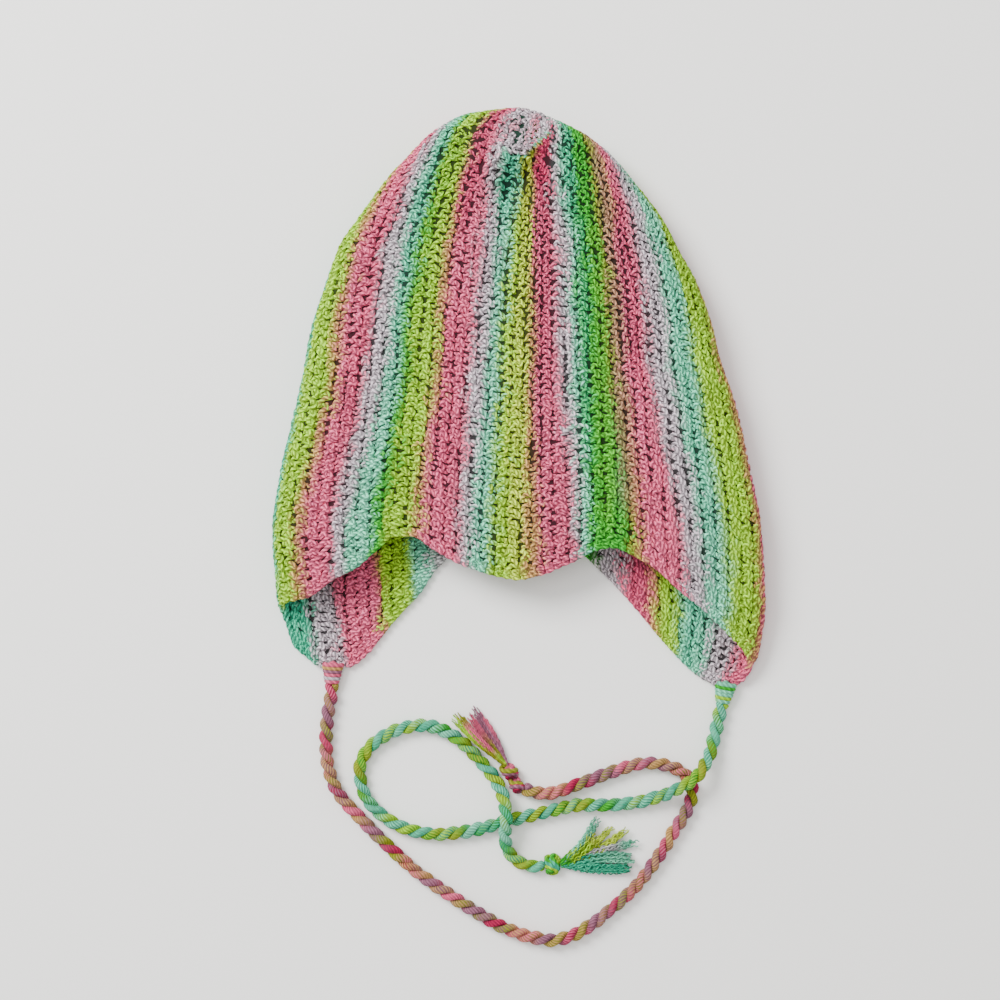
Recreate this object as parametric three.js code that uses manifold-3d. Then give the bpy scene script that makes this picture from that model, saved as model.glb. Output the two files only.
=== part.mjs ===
import * as THREE from "three";
import Module from "manifold-3d";

// Driving sizes, in millimetres
const CAP_FLAT_WIDTH = 200; // fold to fold across the flaps, so 400 round the head
const CAP_LENGTH = 192; // crown edge to the middle of the forehead edge
const CAP_HEIGHT = 22; // the laid cap's height at its fullest
const KNIT_THICKNESS = 3.6; // one layer of garter stitch
const FRONT_BULGE = 3; // how far the front panel bulges between the folds
const GATHER_SHIFT = 20; // from the end of the laid cap to the gather on its front, along the knit
const GATHER_DEPTH = 0.7; // height of the flutes that run into the gather
const TIE_DIAMETER = 5.6; // twisted two-ply cord
const ROOT_WIDTH = 9.6; // the yarn wrapped round a flap's tip
const ROOT_LENGTH = 6.6;
const TASSEL_LENGTH = 29;
const KNOT_WIDTH = 7.2;
const GAP = 0.3; // between touching pieces

// How fine the knitted wall is
const STEPS_ROUND = 72;
const STEPS_ALONG = 23;

// Half widths of the laid cap, left and right of its centre line, as shares of CAP_FLAT_WIDTH.
// down is the distance below the crown edge, as a share of CAP_LENGTH.
const OUTLINE = [
  { down: 0.0, left: 0.004, right: 0.004 },
  { down: 0.006, left: 0.063, right: 0.03 },
  { down: 0.021, left: 0.125, right: 0.066 },
  { down: 0.036, left: 0.153, right: 0.096 },
  { down: 0.063, left: 0.188, right: 0.143 },
  { down: 0.106, left: 0.23, right: 0.192 },
  { down: 0.169, left: 0.282, right: 0.242 },
  { down: 0.234, left: 0.326, right: 0.29 },
  { down: 0.293, left: 0.363, right: 0.32 },
  { down: 0.383, left: 0.395, right: 0.365 },
  { down: 0.461, left: 0.419, right: 0.391 },
  { down: 0.53, left: 0.431, right: 0.407 },
  { down: 0.616, left: 0.448, right: 0.435 },
  { down: 0.664, left: 0.46, right: 0.446 },
  { down: 0.775, left: 0.484, right: 0.47 },
  { down: 0.891, left: 0.499, right: 0.491 },
  { down: 0.977, left: 0.495, right: 0.497 },
  { down: 1.043, left: 0.49, right: 0.5 },
  { down: 1.121, left: 0.482, right: 0.493 },
  { down: 1.173, left: 0.475, right: 0.479 },
  { down: 1.223, left: 0.465, right: 0.453 },
];

// Height of the laid cap as a share of CAP_HEIGHT
const FULLNESS = [
  { down: 0.0, height: 0.91 },
  { down: 0.1, height: 0.95 },
  { down: 0.24, height: 1.0 },
  { down: 0.52, height: 1.0 },
  { down: 0.8, height: 0.91 },
  { down: 1.0, height: 0.77 },
  { down: 1.09, height: 0.59 },
  { down: 1.18, height: 0.43 },
  { down: 1.24, height: 0.41 },
];

// The brim edge. round is the share of the way round from the left fold (0) over the middle of
// the forehead (0.25), the right fold (0.5) and the nape (0.75) back to the left fold.
const BRIM = [
  { round: 0.0, down: 1.046 },
  { round: 0.042, down: 1.026 },
  { round: 0.072, down: 0.984 },
  { round: 0.09, down: 0.965 },
  { round: 0.116, down: 0.922 },
  { round: 0.13, down: 0.897 },
  { round: 0.147, down: 0.896 },
  { round: 0.17, down: 0.926 },
  { round: 0.2, down: 0.96 },
  { round: 0.249, down: 0.986 },
  { round: 0.297, down: 0.954 },
  { round: 0.324, down: 0.925 },
  { round: 0.339, down: 0.92 },
  { round: 0.367, down: 0.945 },
  { round: 0.38, down: 0.962 },
  { round: 0.404, down: 1.01 },
  { round: 0.432, down: 1.058 },
  { round: 0.463, down: 1.115 },
  { round: 0.49, down: 1.166 },
  { round: 0.506, down: 1.21 },
  { round: 0.53, down: 1.215 },
  { round: 0.542, down: 1.207 },
  { round: 0.559, down: 1.192 },
  { round: 0.578, down: 1.167 },
  { round: 0.605, down: 1.118 },
  { round: 0.642, down: 1.033 },
  { round: 0.669, down: 0.972 },
  { round: 0.69, down: 0.935 },
  { round: 0.75, down: 0.925 },
  { round: 0.81, down: 0.932 },
  { round: 0.831, down: 0.966 },
  { round: 0.85, down: 1.02 },
  { round: 0.877, down: 1.078 },
  { round: 0.907, down: 1.145 },
  { round: 0.928, down: 1.173 },
  { round: 0.956, down: 1.173 },
  { round: 0.97, down: 1.15 },
  { round: 0.981, down: 1.125 },
  { round: 0.988, down: 1.078 },
];

// Lumps and hollows at the gather. side and down are shares of CAP_LENGTH from the centre line
// and from the crown edge, reach is a share too, and rise is a share of CAP_HEIGHT.
const DENTS = [
  { side: -0.02, down: 0.112, reach: 0.034, rise: 0.25 },
  { side: -0.018, down: 0.178, reach: 0.024, rise: -0.26 },
  { side: 0.042, down: 0.118, reach: 0.016, rise: -0.14 },
  { side: 0.0, down: 0.062, reach: 0.022, rise: -0.1 },
  { side: 0.09, down: 0.09, reach: 0.04, rise: 0.07 },
];

// Routes of the two ties from the flap tips. x and y are shares of CAP_FLAT_WIDTH from the
// centre line and from the tie line, and rise is the centre's height in tie diameters.
const TIE_LINE_DOWN = 1.223;
const LEFT_TIE = [
  { x: -0.380, y: -0.005, rise: 0.52 },
  { x: -0.387, y: -0.046, rise: 0.52 },
  { x: -0.392, y: -0.103, rise: 0.52 },
  { x: -0.388, y: -0.160, rise: 0.52 },
  { x: -0.370, y: -0.210, rise: 0.52 },
  { x: -0.325, y: -0.263, rise: 0.52 },
  { x: -0.266, y: -0.322, rise: 0.52 },
  { x: -0.207, y: -0.375, rise: 0.52 },
  { x: -0.146, y: -0.418, rise: 0.52 },
  { x: -0.087, y: -0.456, rise: 0.52 },
  { x: -0.028, y: -0.489, rise: 0.52 },
  { x: 0.033, y: -0.509, rise: 0.52 },
  { x: 0.076, y: -0.513, rise: 0.52 },
  { x: 0.124, y: -0.497, rise: 0.52 },
  { x: 0.181, y: -0.456, rise: 0.52 },
  { x: 0.238, y: -0.404, rise: 0.52 },
  { x: 0.283, y: -0.345, rise: 0.52 },
  { x: 0.318, y: -0.288, rise: 0.52 },
  { x: 0.346, y: -0.241, rise: 0.52 },
  { x: 0.352, y: -0.206, rise: 0.52 },
  { x: 0.338, y: -0.176, rise: 0.52 },
  { x: 0.303, y: -0.159, rise: 0.52 },
  { x: 0.252, y: -0.154, rise: 0.52 },
  { x: 0.200, y: -0.168, rise: 0.52 },
  { x: 0.141, y: -0.189, rise: 0.52 },
  { x: 0.092, y: -0.207, rise: 0.52 },
  { x: 0.055, y: -0.216, rise: 0.52 },
  { x: 0.029, y: -0.212, rise: 0.52 },
  { x: 0.013, y: -0.206, rise: 0.52 },
];
const RIGHT_TIE = [
  { x: 0.411, y: -0.042, rise: 0.52 },
  { x: 0.405, y: -0.070, rise: 0.52 },
  { x: 0.397, y: -0.102, rise: 0.58 },
  { x: 0.386, y: -0.136, rise: 0.9 },
  { x: 0.368, y: -0.167, rise: 1.45 },
  { x: 0.346, y: -0.188, rise: 1.64 },
  { x: 0.318, y: -0.205, rise: 1.36 },
  { x: 0.282, y: -0.222, rise: 0.78 },
  { x: 0.240, y: -0.233, rise: 0.52 },
  { x: 0.181, y: -0.239, rise: 0.52 },
  { x: 0.122, y: -0.239, rise: 0.52 },
  { x: 0.063, y: -0.251, rise: 0.52 },
  { x: 0.021, y: -0.261, rise: 0.52 },
  { x: -0.024, y: -0.271, rise: 0.52 },
  { x: -0.067, y: -0.284, rise: 0.52 },
  { x: -0.116, y: -0.294, rise: 0.52 },
  { x: -0.173, y: -0.298, rise: 0.52 },
  { x: -0.232, y: -0.286, rise: 0.52 },
  { x: -0.276, y: -0.261, rise: 0.52 },
  { x: -0.309, y: -0.227, rise: 0.52 },
  { x: -0.322, y: -0.188, rise: 0.52 },
  { x: -0.321, y: -0.151, rise: 0.52 },
  { x: -0.303, y: -0.121, rise: 0.52 },
  { x: -0.268, y: -0.095, rise: 0.52 },
  { x: -0.225, y: -0.080, rise: 0.52 },
  { x: -0.181, y: -0.078, rise: 0.52 },
  { x: -0.142, y: -0.093, rise: 0.52 },
  { x: -0.107, y: -0.119, rise: 0.52 },
  { x: -0.073, y: -0.156, rise: 0.52 },
  { x: -0.046, y: -0.190, rise: 0.56 },
  { x: -0.031, y: -0.225, rise: 1.05 },
  { x: -0.026, y: -0.263, rise: 1.64 },
  { x: -0.028, y: -0.304, rise: 1.05 },
  { x: -0.019, y: -0.336, rise: 0.6 },
  { x: 0.004, y: -0.357, rise: 0.52 },
  { x: 0.033, y: -0.363, rise: 0.52 },
  { x: 0.049, y: -0.363, rise: 0.52 },
];

// Loose ends of the tassels. along, side and bend are shares of TASSEL_LENGTH from the knot,
// width is a share of KNOT_WIDTH and rise is the middle's height in tie diameters.
const LEFT_LOCKS = [
  { along: 0.93, side: 0.05, bend: -0.01, width: 0.44, rise: 0.4 },
  { along: 0.81, side: 0.0, bend: -0.03, width: 0.42, rise: 0.4 },
  { along: 0.87, side: 0.15, bend: 0.02, width: 0.4, rise: 0.5 },
  { along: 0.97, side: 0.28, bend: 0.06, width: 0.42, rise: 0.9 },
  { along: 0.95, side: 0.38, bend: 0.07, width: 0.38, rise: 0.95 },
];
const RIGHT_LOCKS = [
  { along: 0.46, side: 0.43, bend: 0.02, width: 0.84, rise: 0.58 },
  { along: 0.49, side: 0.66, bend: 0.02, width: 0.48, rise: 0.62 },
  { along: 0.69, side: 0.53, bend: 0.0, width: 0.4, rise: 0.42 },
  { along: 0.94, side: 0.5, bend: -0.01, width: 0.42, rise: 0.38 },
  { along: 1.07, side: 0.28, bend: 0.09, width: 0.48, rise: 0.4 },
  { along: 1.0, side: 0.05, bend: 0.07, width: 0.72, rise: 0.46 },
  { along: 0.96, side: -0.09, bend: -0.03, width: 0.6, rise: 0.42 },
];

const library = await Module();
library.setup();
const { Manifold, Mesh: SolidMesh } = library;

/** A smooth value at a place in a table, through its rows without overshoot. */
function follow(table, key, column, at, closed = false) {
  const rows = closed
    ? [
        ...table.slice(-2).map((row) => ({ ...row, [key]: row[key] - 1 })),
        ...table,
        ...table.slice(0, 2).map((row) => ({ ...row, [key]: row[key] + 1 })),
      ]
    : table;
  const last = rows.length - 1;
  if (at <= rows[0][key]) return rows[0][column];
  if (at >= rows[last][key]) return rows[last][column];
  let i = 0;
  while (rows[i + 1][key] < at) i += 1;
  const slope = (k) => (rows[k + 1][column] - rows[k][column]) / (rows[k + 1][key] - rows[k][key]);
  const tangent = (k) => {
    if (k === 0) return slope(0);
    if (k === last) return slope(last - 1);
    const before = slope(k - 1);
    const after = slope(k);
    return before * after <= 0 ? 0 : (2 * before * after) / (before + after);
  };
  const width = rows[i + 1][key] - rows[i][key];
  const t = (at - rows[i][key]) / width;
  const start = rows[i][column] * (1 + 2 * t) * (1 - t) ** 2 + tangent(i) * width * t * (1 - t) ** 2;
  const end = rows[i + 1][column] * t * t * (3 - 2 * t) + tangent(i + 1) * width * t * t * (t - 1);
  return start + end;
}

const OUTLINE_BY_ROOT = OUTLINE.map((row) => ({ ...row, root: Math.sqrt(row.down) }));
const crownY = (CAP_LENGTH * 1.2205 + ROOT_LENGTH * 1.1) / 2;
const tieLineY = crownY - CAP_LENGTH * TIE_LINE_DOWN;

const heightAt = (down) => CAP_HEIGHT * follow(FULLNESS, "down", "height", down);
const halfWidth = (down, side) =>
  CAP_FLAT_WIDTH * follow(OUTLINE_BY_ROOT, "root", side, Math.sqrt(Math.max(down, 0)));

/** Distance into a fold and height share at a distance along the knit from it. */
function roundFold(along, radius, arc) {
  if (along >= arc) return { into: radius + along - arc, share: 1 };
  const turn = (Math.PI / 2) * (along / arc);
  return { into: radius * (1 - Math.cos(turn)), share: Math.sin(turn) };
}

const endRadius = heightAt(0) / 2;
const endArc = (Math.PI / 2) * endRadius;
const alongKnit = (down) => endArc + down * CAP_LENGTH - endRadius;

/** A point of the outside: round is the share of the way round, out runs from gather to brim. */
function outside(round, out) {
  const turn = 2 * Math.PI * round;
  const shift = (GATHER_SHIFT / alongKnit(1)) * (1 - out * out) ** 6;
  const across = out * Math.cos(turn);
  const up = out * Math.sin(turn) + shift;
  const ring = Math.hypot(across, up);
  const at = (Math.atan2(up, across) / (2 * Math.PI) + 1) % 1;
  const brim = alongKnit(follow(BRIM, "round", "down", at, true));
  const along = ring * alongKnit(1) + (brim - alongKnit(1)) * ring ** 3;
  const end = roundFold(along, endRadius, endArc);
  const down = end.into / CAP_LENGTH;
  const half = heightAt(down) / 2;
  const isLeft = at < 0.25 || at >= 0.75;
  const isFront = at < 0.5;
  const width = halfWidth(down, isLeft ? "left" : "right");
  const radius = Math.min(half, width);
  const arc = (Math.PI / 2) * Math.hypot(radius, half * end.share) * Math.SQRT1_2;
  const quarter = 4 * Math.min(at % 0.5, 0.5 - (at % 0.5));
  const fold = roundFold(quarter * (arc + width - radius), radius, arc);
  const x = (isLeft ? -1 : 1) * (width - fold.into);
  const y = crownY - end.into;
  let z = half + (isFront ? 1 : -1) * half * end.share * fold.share;
  if (isFront) {
    const free = 1 - (x / width) ** 2;
    z += FRONT_BULGE * free * Math.min(1, end.into / (2 * CAP_HEIGHT));
    for (const dent of DENTS) {
      const dx = x / CAP_LENGTH - dent.side;
      const dy = (crownY - y) / CAP_LENGTH - dent.down;
      z += dent.rise * CAP_HEIGHT * end.share * fold.share * Math.exp(-(dx * dx + dy * dy) / (2 * dent.reach ** 2));
    }
    const near = Math.exp(-((out / 0.16) ** 2)) * Math.min(1, out / 0.04);
    z += GATHER_DEPTH * near * Math.cos(16 * turn);
  }
  return new THREE.Vector3(x, y, z);
}

/** The outward direction of the outside at a point. */
function outward(round, out) {
  const step = 0.004;
  const far = Math.min(out + step, 1);
  const near = Math.max(out - step, 0.002);
  const around = outside(round + step, out).sub(outside(round - step, out));
  const away = outside(round, far).sub(outside(round, near));
  return away.cross(around).normalize();
}

/** A point of the inside, one thickness in from the outside. */
const inside = (round, out) => outside(round, out).addScaledVector(outward(round, out), -KNIT_THICKNESS);

/** A closed mesh through rings of points, with a point or a flat fan at each end. */
function loft(rings, startPoint, endPoint) {
  const count = rings[0].length;
  const points = [...rings.flat(), startPoint, endPoint];
  const index = [];
  for (let k = 0; k < rings.length - 1; k += 1) {
    for (let i = 0; i < count; i += 1) {
      const a = k * count + i;
      const b = k * count + ((i + 1) % count);
      index.push(a, b, a + count, b, b + count, a + count);
    }
  }
  const last = (rings.length - 1) * count;
  for (let i = 0; i < count; i += 1) {
    const next = (i + 1) % count;
    index.push(points.length - 2, next, i);
    index.push(points.length - 1, last + i, last + next);
  }
  const geometry = new THREE.BufferGeometry().setFromPoints(points);
  geometry.setIndex(index);
  return geometry;
}

/** A solid made of a geometry, facing out. */
function toSolid(geometry) {
  const flat = geometry.index ? geometry.toNonIndexed() : geometry;
  const places = new Map();
  const points = [];
  const triangles = [];
  const position = flat.getAttribute("position");
  for (let i = 0; i < position.count; i += 1) {
    const point = [position.getX(i), position.getY(i), position.getZ(i)];
    const key = point.map((value) => Math.round(value * 1000)).join();
    if (!places.has(key)) {
      places.set(key, points.length / 3);
      points.push(...point);
    }
    triangles.push(places.get(key));
  }
  const kept = [];
  for (let i = 0; i < triangles.length; i += 3) {
    const [a, b, c] = triangles.slice(i, i + 3);
    if (a !== b && b !== c && c !== a) kept.push(a, b, c);
  }
  const make = (order) =>
    new Manifold(
      new SolidMesh({
        numProp: 3,
        vertProperties: new Float32Array(points),
        triVerts: new Uint32Array(order),
      }),
    );
  const solid = make(kept);
  if (solid.volume() > 0) return solid;
  const turned = [];
  for (let i = 0; i < kept.length; i += 3) turned.push(kept[i], kept[i + 2], kept[i + 1]);
  return make(turned);
}

/** The geometry of a solid. */
function toGeometry(solid) {
  const mesh = solid.getMesh();
  const places = new Float32Array((mesh.vertProperties.length / mesh.numProp) * 3);
  for (let i = 0; i * 3 < places.length; i += 1) {
    places.set(mesh.vertProperties.subarray(i * mesh.numProp, i * mesh.numProp + 3), i * 3);
  }
  const geometry = new THREE.BufferGeometry();
  geometry.setAttribute("position", new THREE.BufferAttribute(places, 3));
  geometry.setIndex(new THREE.BufferAttribute(mesh.triVerts, 1));
  const flat = geometry.toNonIndexed();
  flat.computeVertexNormals();
  return flat;
}

/** The cap's wall: outside from gather to brim, round the brim edge, and back inside. */
function capWall() {
  const rings = [];
  const ring = (place, out) =>
    Array.from({ length: STEPS_ROUND }, (_, i) => place(i / STEPS_ROUND, out));
  const outs = Array.from({ length: STEPS_ALONG }, (_, k) => ((k + 1) / STEPS_ALONG) ** 1.35);
  for (const out of outs) rings.push(ring(outside, out));
  const edge = (round) => {
    const middle = outside(round, 1).lerp(inside(round, 1), 0.5);
    const away = outside(round, 1).sub(outside(round, 0.98)).setLength(KNIT_THICKNESS * 0.22);
    return middle.add(away);
  };
  rings.push(ring(edge, 1));
  for (const out of [...outs].reverse()) rings.push(ring(inside, out));
  return loft(rings, outside(0, 0.001), inside(0, 0.001));
}

/** A tapered round rod along a curve. */
function rod(curve, radiusAt, steps, sides, flatness = 1) {
  const rings = [];
  for (let k = 0; k <= steps; k += 1) {
    const centre = curve.getPoint(k / steps);
    const along = curve.getTangent(k / steps);
    const side = new THREE.Vector3(-along.y, along.x, 0).normalize();
    const up = new THREE.Vector3().crossVectors(along, side);
    rings.push(
      Array.from({ length: sides }, (_, i) => {
        const turn = (2 * Math.PI * (i + 0.5)) / sides;
        return centre
          .clone()
          .addScaledVector(side, radiusAt(k / steps) * Math.cos(turn))
          .addScaledVector(up, radiusAt(k / steps) * flatness * Math.sin(turn));
      }),
    );
  }
  return toSolid(loft(rings, curve.getPoint(0), curve.getPoint(1)));
}

/** The route of a tie in millimetres. */
function tieRoute(rows, exit) {
  const points = rows.map(
    (row) =>
      new THREE.Vector3(
        row.x * CAP_FLAT_WIDTH,
        tieLineY + row.y * CAP_FLAT_WIDTH,
        row.rise * TIE_DIAMETER,
      ),
  );
  return new THREE.CatmullRomCurve3([exit, ...points], false, "centripetal");
}

/** A round tube along a tie's route. */
function tieTube(curve) {
  const shape = new THREE.Shape();
  const sides = 8;
  for (let i = 0; i < sides; i += 1) {
    const turn = (2 * Math.PI * (i + 0.5)) / sides;
    const [x, y] = [Math.cos(turn), Math.sin(turn)].map((value) => (value * TIE_DIAMETER) / 2);
    if (i === 0) shape.moveTo(x, y);
    else shape.lineTo(x, y);
  }
  shape.closePath();
  return new THREE.ExtrudeGeometry(shape, { steps: 42, bevelEnabled: false, extrudePath: curve });
}

/** The wrapped root of a tie below a flap's tip: where it starts, and how far it narrows. */
function tieRoot(x, top, leanX) {
  const start = new THREE.Vector3(x, top - GAP, TIE_DIAMETER * 0.56);
  const end = new THREE.Vector3(x + leanX, top - GAP - ROOT_LENGTH, TIE_DIAMETER * 0.52);
  const curve = new THREE.LineCurve3(start, end);
  const radiusAt = (t) => (ROOT_WIDTH / 2) * (1 - 0.34 * t ** 1.4);
  const solid = rod(curve, radiusAt, 5, 12, 0.62);
  const exit = end.clone().add(end.clone().sub(start).setLength(1.6 * GAP));
  return { solid, exit };
}

/** A knot of wrapped turns: a table of balls along the way from the tie to the tassel. */
function knot(balls) {
  const solids = balls.map(({ at, width, length, turn }) => {
    const geometry = new THREE.SphereGeometry(0.5, 12, 8);
    geometry.scale(width, length, width * 0.94);
    geometry.rotateZ(turn);
    geometry.translate(at.x, at.y, (width * 0.94) / 2 + 0.05);
    return toSolid(geometry);
  });
  return Manifold.union(solids);
}

/** A tassel: loose ends from one head, spread over the surface. */
function tassel(head, heading, locks) {
  const along = new THREE.Vector3(Math.cos(heading), Math.sin(heading), 0);
  const side = new THREE.Vector3(-along.y, along.x, 0);
  const place = (a, s, z) =>
    head.clone().addScaledVector(along, a * TASSEL_LENGTH).addScaledVector(side, s * TASSEL_LENGTH).setZ(z);
  const solids = locks.map((lock) => {
    const radius = (lock.width * KNOT_WIDTH) / 2;
    const curve = new THREE.CatmullRomCurve3([
      place(0, 0, TIE_DIAMETER * 0.46),
      place(lock.along * 0.5, lock.side * 0.4 + lock.bend, Math.max(lock.rise * TIE_DIAMETER, radius + 0.05)),
      place(lock.along, lock.side, radius + 0.05),
    ]);
    return rod(curve, (t) => radius * (0.72 + 0.36 * Math.sin(Math.PI * Math.min(t * 1.1, 1)) - 0.1 * t), 6, 7, 0.92);
  });
  return Manifold.union(solids);
}

const group = new THREE.Group();

/** Adds a named piece with its own material. */
function piece(name, geometry, colour, roughness) {
  const material = new THREE.MeshStandardMaterial({ color: colour, roughness, metalness: 0 });
  const mesh = new THREE.Mesh(geometry, material);
  mesh.name = name;
  group.add(mesh);
}

piece("knitted_cap", toGeometry(toSolid(capWall())), "#c3b27d", 0.92);

const lowest = (round) => outside(round, 1).y;
const leftTip = Math.min(...[0.932, 0.94, 0.948, 0.954].map(lowest)) - KNIT_THICKNESS * 0.24;
const rightTip = Math.min(...[0.508, 0.516, 0.524, 0.532].map(lowest)) - KNIT_THICKNESS * 0.24;
const leftRoot = tieRoot(-0.378 * CAP_FLAT_WIDTH, leftTip, -0.4);
const rightRoot = tieRoot(0.42 * CAP_FLAT_WIDTH, rightTip, -1.2);
piece("left_tie_root", toGeometry(leftRoot.solid), "#c9718a", 0.9);
piece("right_tie_root", toGeometry(rightRoot.solid), "#7fc6a2", 0.9);

const leftRoute = tieRoute(LEFT_TIE, leftRoot.exit);
const rightRoute = tieRoute(RIGHT_TIE, rightRoot.exit);
piece("left_tie_cord", tieTube(leftRoute), "#b0707a", 0.88);
piece("right_tie_cord", tieTube(rightRoute), "#58b57c", 0.88);

/** A flat place beyond the end of a route: along it and to its left. */
function beyond(route, forward, left) {
  const end = route.getPoint(1);
  const way = route.getTangent(1).setZ(0).normalize();
  const side = new THREE.Vector3(-way.y, way.x, 0);
  return end.addScaledVector(way, forward).addScaledVector(side, left).setZ(0);
}

const leftBall = beyond(leftRoute, GAP + KNOT_WIDTH * 0.47, 0);
const leftTurn = leftBall.clone().add(new THREE.Vector3(-0.41, 0.78, 0).multiplyScalar(KNOT_WIDTH));
piece(
  "left_tie_knot",
  toGeometry(
    knot([
      { at: leftBall, width: KNOT_WIDTH * 0.86, length: KNOT_WIDTH * 1.0, turn: 0.4 },
      { at: leftTurn, width: KNOT_WIDTH, length: KNOT_WIDTH * 0.95, turn: 0.4 },
    ]),
  ),
  "#b8506e",
  0.9,
);
const rightBall = beyond(rightRoute, GAP + KNOT_WIDTH * 0.42, 0);
piece(
  "right_tie_knot",
  toGeometry(
    knot([
      { at: rightBall, width: KNOT_WIDTH * 0.84, length: KNOT_WIDTH * 1.25, turn: 0.1 },
      {
        at: rightBall.clone().add(new THREE.Vector3(0.18, 0.12, 0).multiplyScalar(KNOT_WIDTH)),
        width: KNOT_WIDTH * 0.8,
        length: KNOT_WIDTH * 1.05,
        turn: -0.3,
      },
    ]),
  ),
  "#6db053",
  0.9,
);

const leftHeading = Math.atan2(58, -30);
const leftHead = leftTurn
  .clone()
  .add(new THREE.Vector3(Math.cos(leftHeading), Math.sin(leftHeading), 0).multiplyScalar(KNOT_WIDTH * 0.5 + 1.2 * GAP));
piece("left_tie_tassel", toGeometry(tassel(leftHead, leftHeading, LEFT_LOCKS)), "#a36f7c", 0.9);
const rightHead = rightBall.clone().add(new THREE.Vector3(KNOT_WIDTH * 0.72 + 1.4 * GAP, KNOT_WIDTH * 0.08, 0));
piece("right_tie_tassel", toGeometry(tassel(rightHead, 0.02, RIGHT_LOCKS)), "#9fb95c", 0.9);

export default group;
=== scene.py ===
"""A worn knitted baby bonnet in garter stitch with two twisted ties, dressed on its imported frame."""
import logging
import math
from dataclasses import dataclass, field
from enum import Enum

import bpy
import numpy as np
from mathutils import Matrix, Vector


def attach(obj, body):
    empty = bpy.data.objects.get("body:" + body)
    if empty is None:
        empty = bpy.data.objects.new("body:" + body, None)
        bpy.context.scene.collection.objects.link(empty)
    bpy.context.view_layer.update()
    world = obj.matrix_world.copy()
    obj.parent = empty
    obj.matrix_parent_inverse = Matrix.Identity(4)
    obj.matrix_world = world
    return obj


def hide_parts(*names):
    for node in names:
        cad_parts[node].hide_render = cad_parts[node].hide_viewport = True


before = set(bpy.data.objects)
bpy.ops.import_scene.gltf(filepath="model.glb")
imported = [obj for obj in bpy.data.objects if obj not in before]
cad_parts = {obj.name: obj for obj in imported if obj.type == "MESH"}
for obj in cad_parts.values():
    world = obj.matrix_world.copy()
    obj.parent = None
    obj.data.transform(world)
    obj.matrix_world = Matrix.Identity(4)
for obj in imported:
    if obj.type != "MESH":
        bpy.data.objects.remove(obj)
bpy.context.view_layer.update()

log = logging.getLogger("bonnet")
MM = 0.001

# Steps between two points that a smooth line passes through
SPAN_STEPS = 24


# Colours of the yarn

class Dye(Enum):
    """The yarn's colours, as red, green and blue shares of a display."""

    PINK = (0.88, 0.38, 0.51)
    CRIMSON = (0.70, 0.10, 0.30)
    LAVENDER = (0.76, 0.71, 0.74)
    GREY = (0.72, 0.72, 0.72)
    MINT = (0.46, 0.83, 0.68)
    TEAL = (0.20, 0.70, 0.54)
    LIME = (0.61, 0.81, 0.13)
    YELLOW = (0.76, 0.86, 0.24)
    GREEN = (0.20, 0.66, 0.14)
    OLIVE = (0.56, 0.58, 0.12)
    TAN = (0.76, 0.58, 0.34)
    MAUVE = (0.60, 0.38, 0.47)

    @property
    def light(self) -> np.ndarray:
        """The colour as shares of light, from the display's curve."""
        shares = np.array(self.value)
        return np.where(shares <= 0.04045, shares / 12.92, ((shares + 0.055) / 1.055) ** 2.4)


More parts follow.
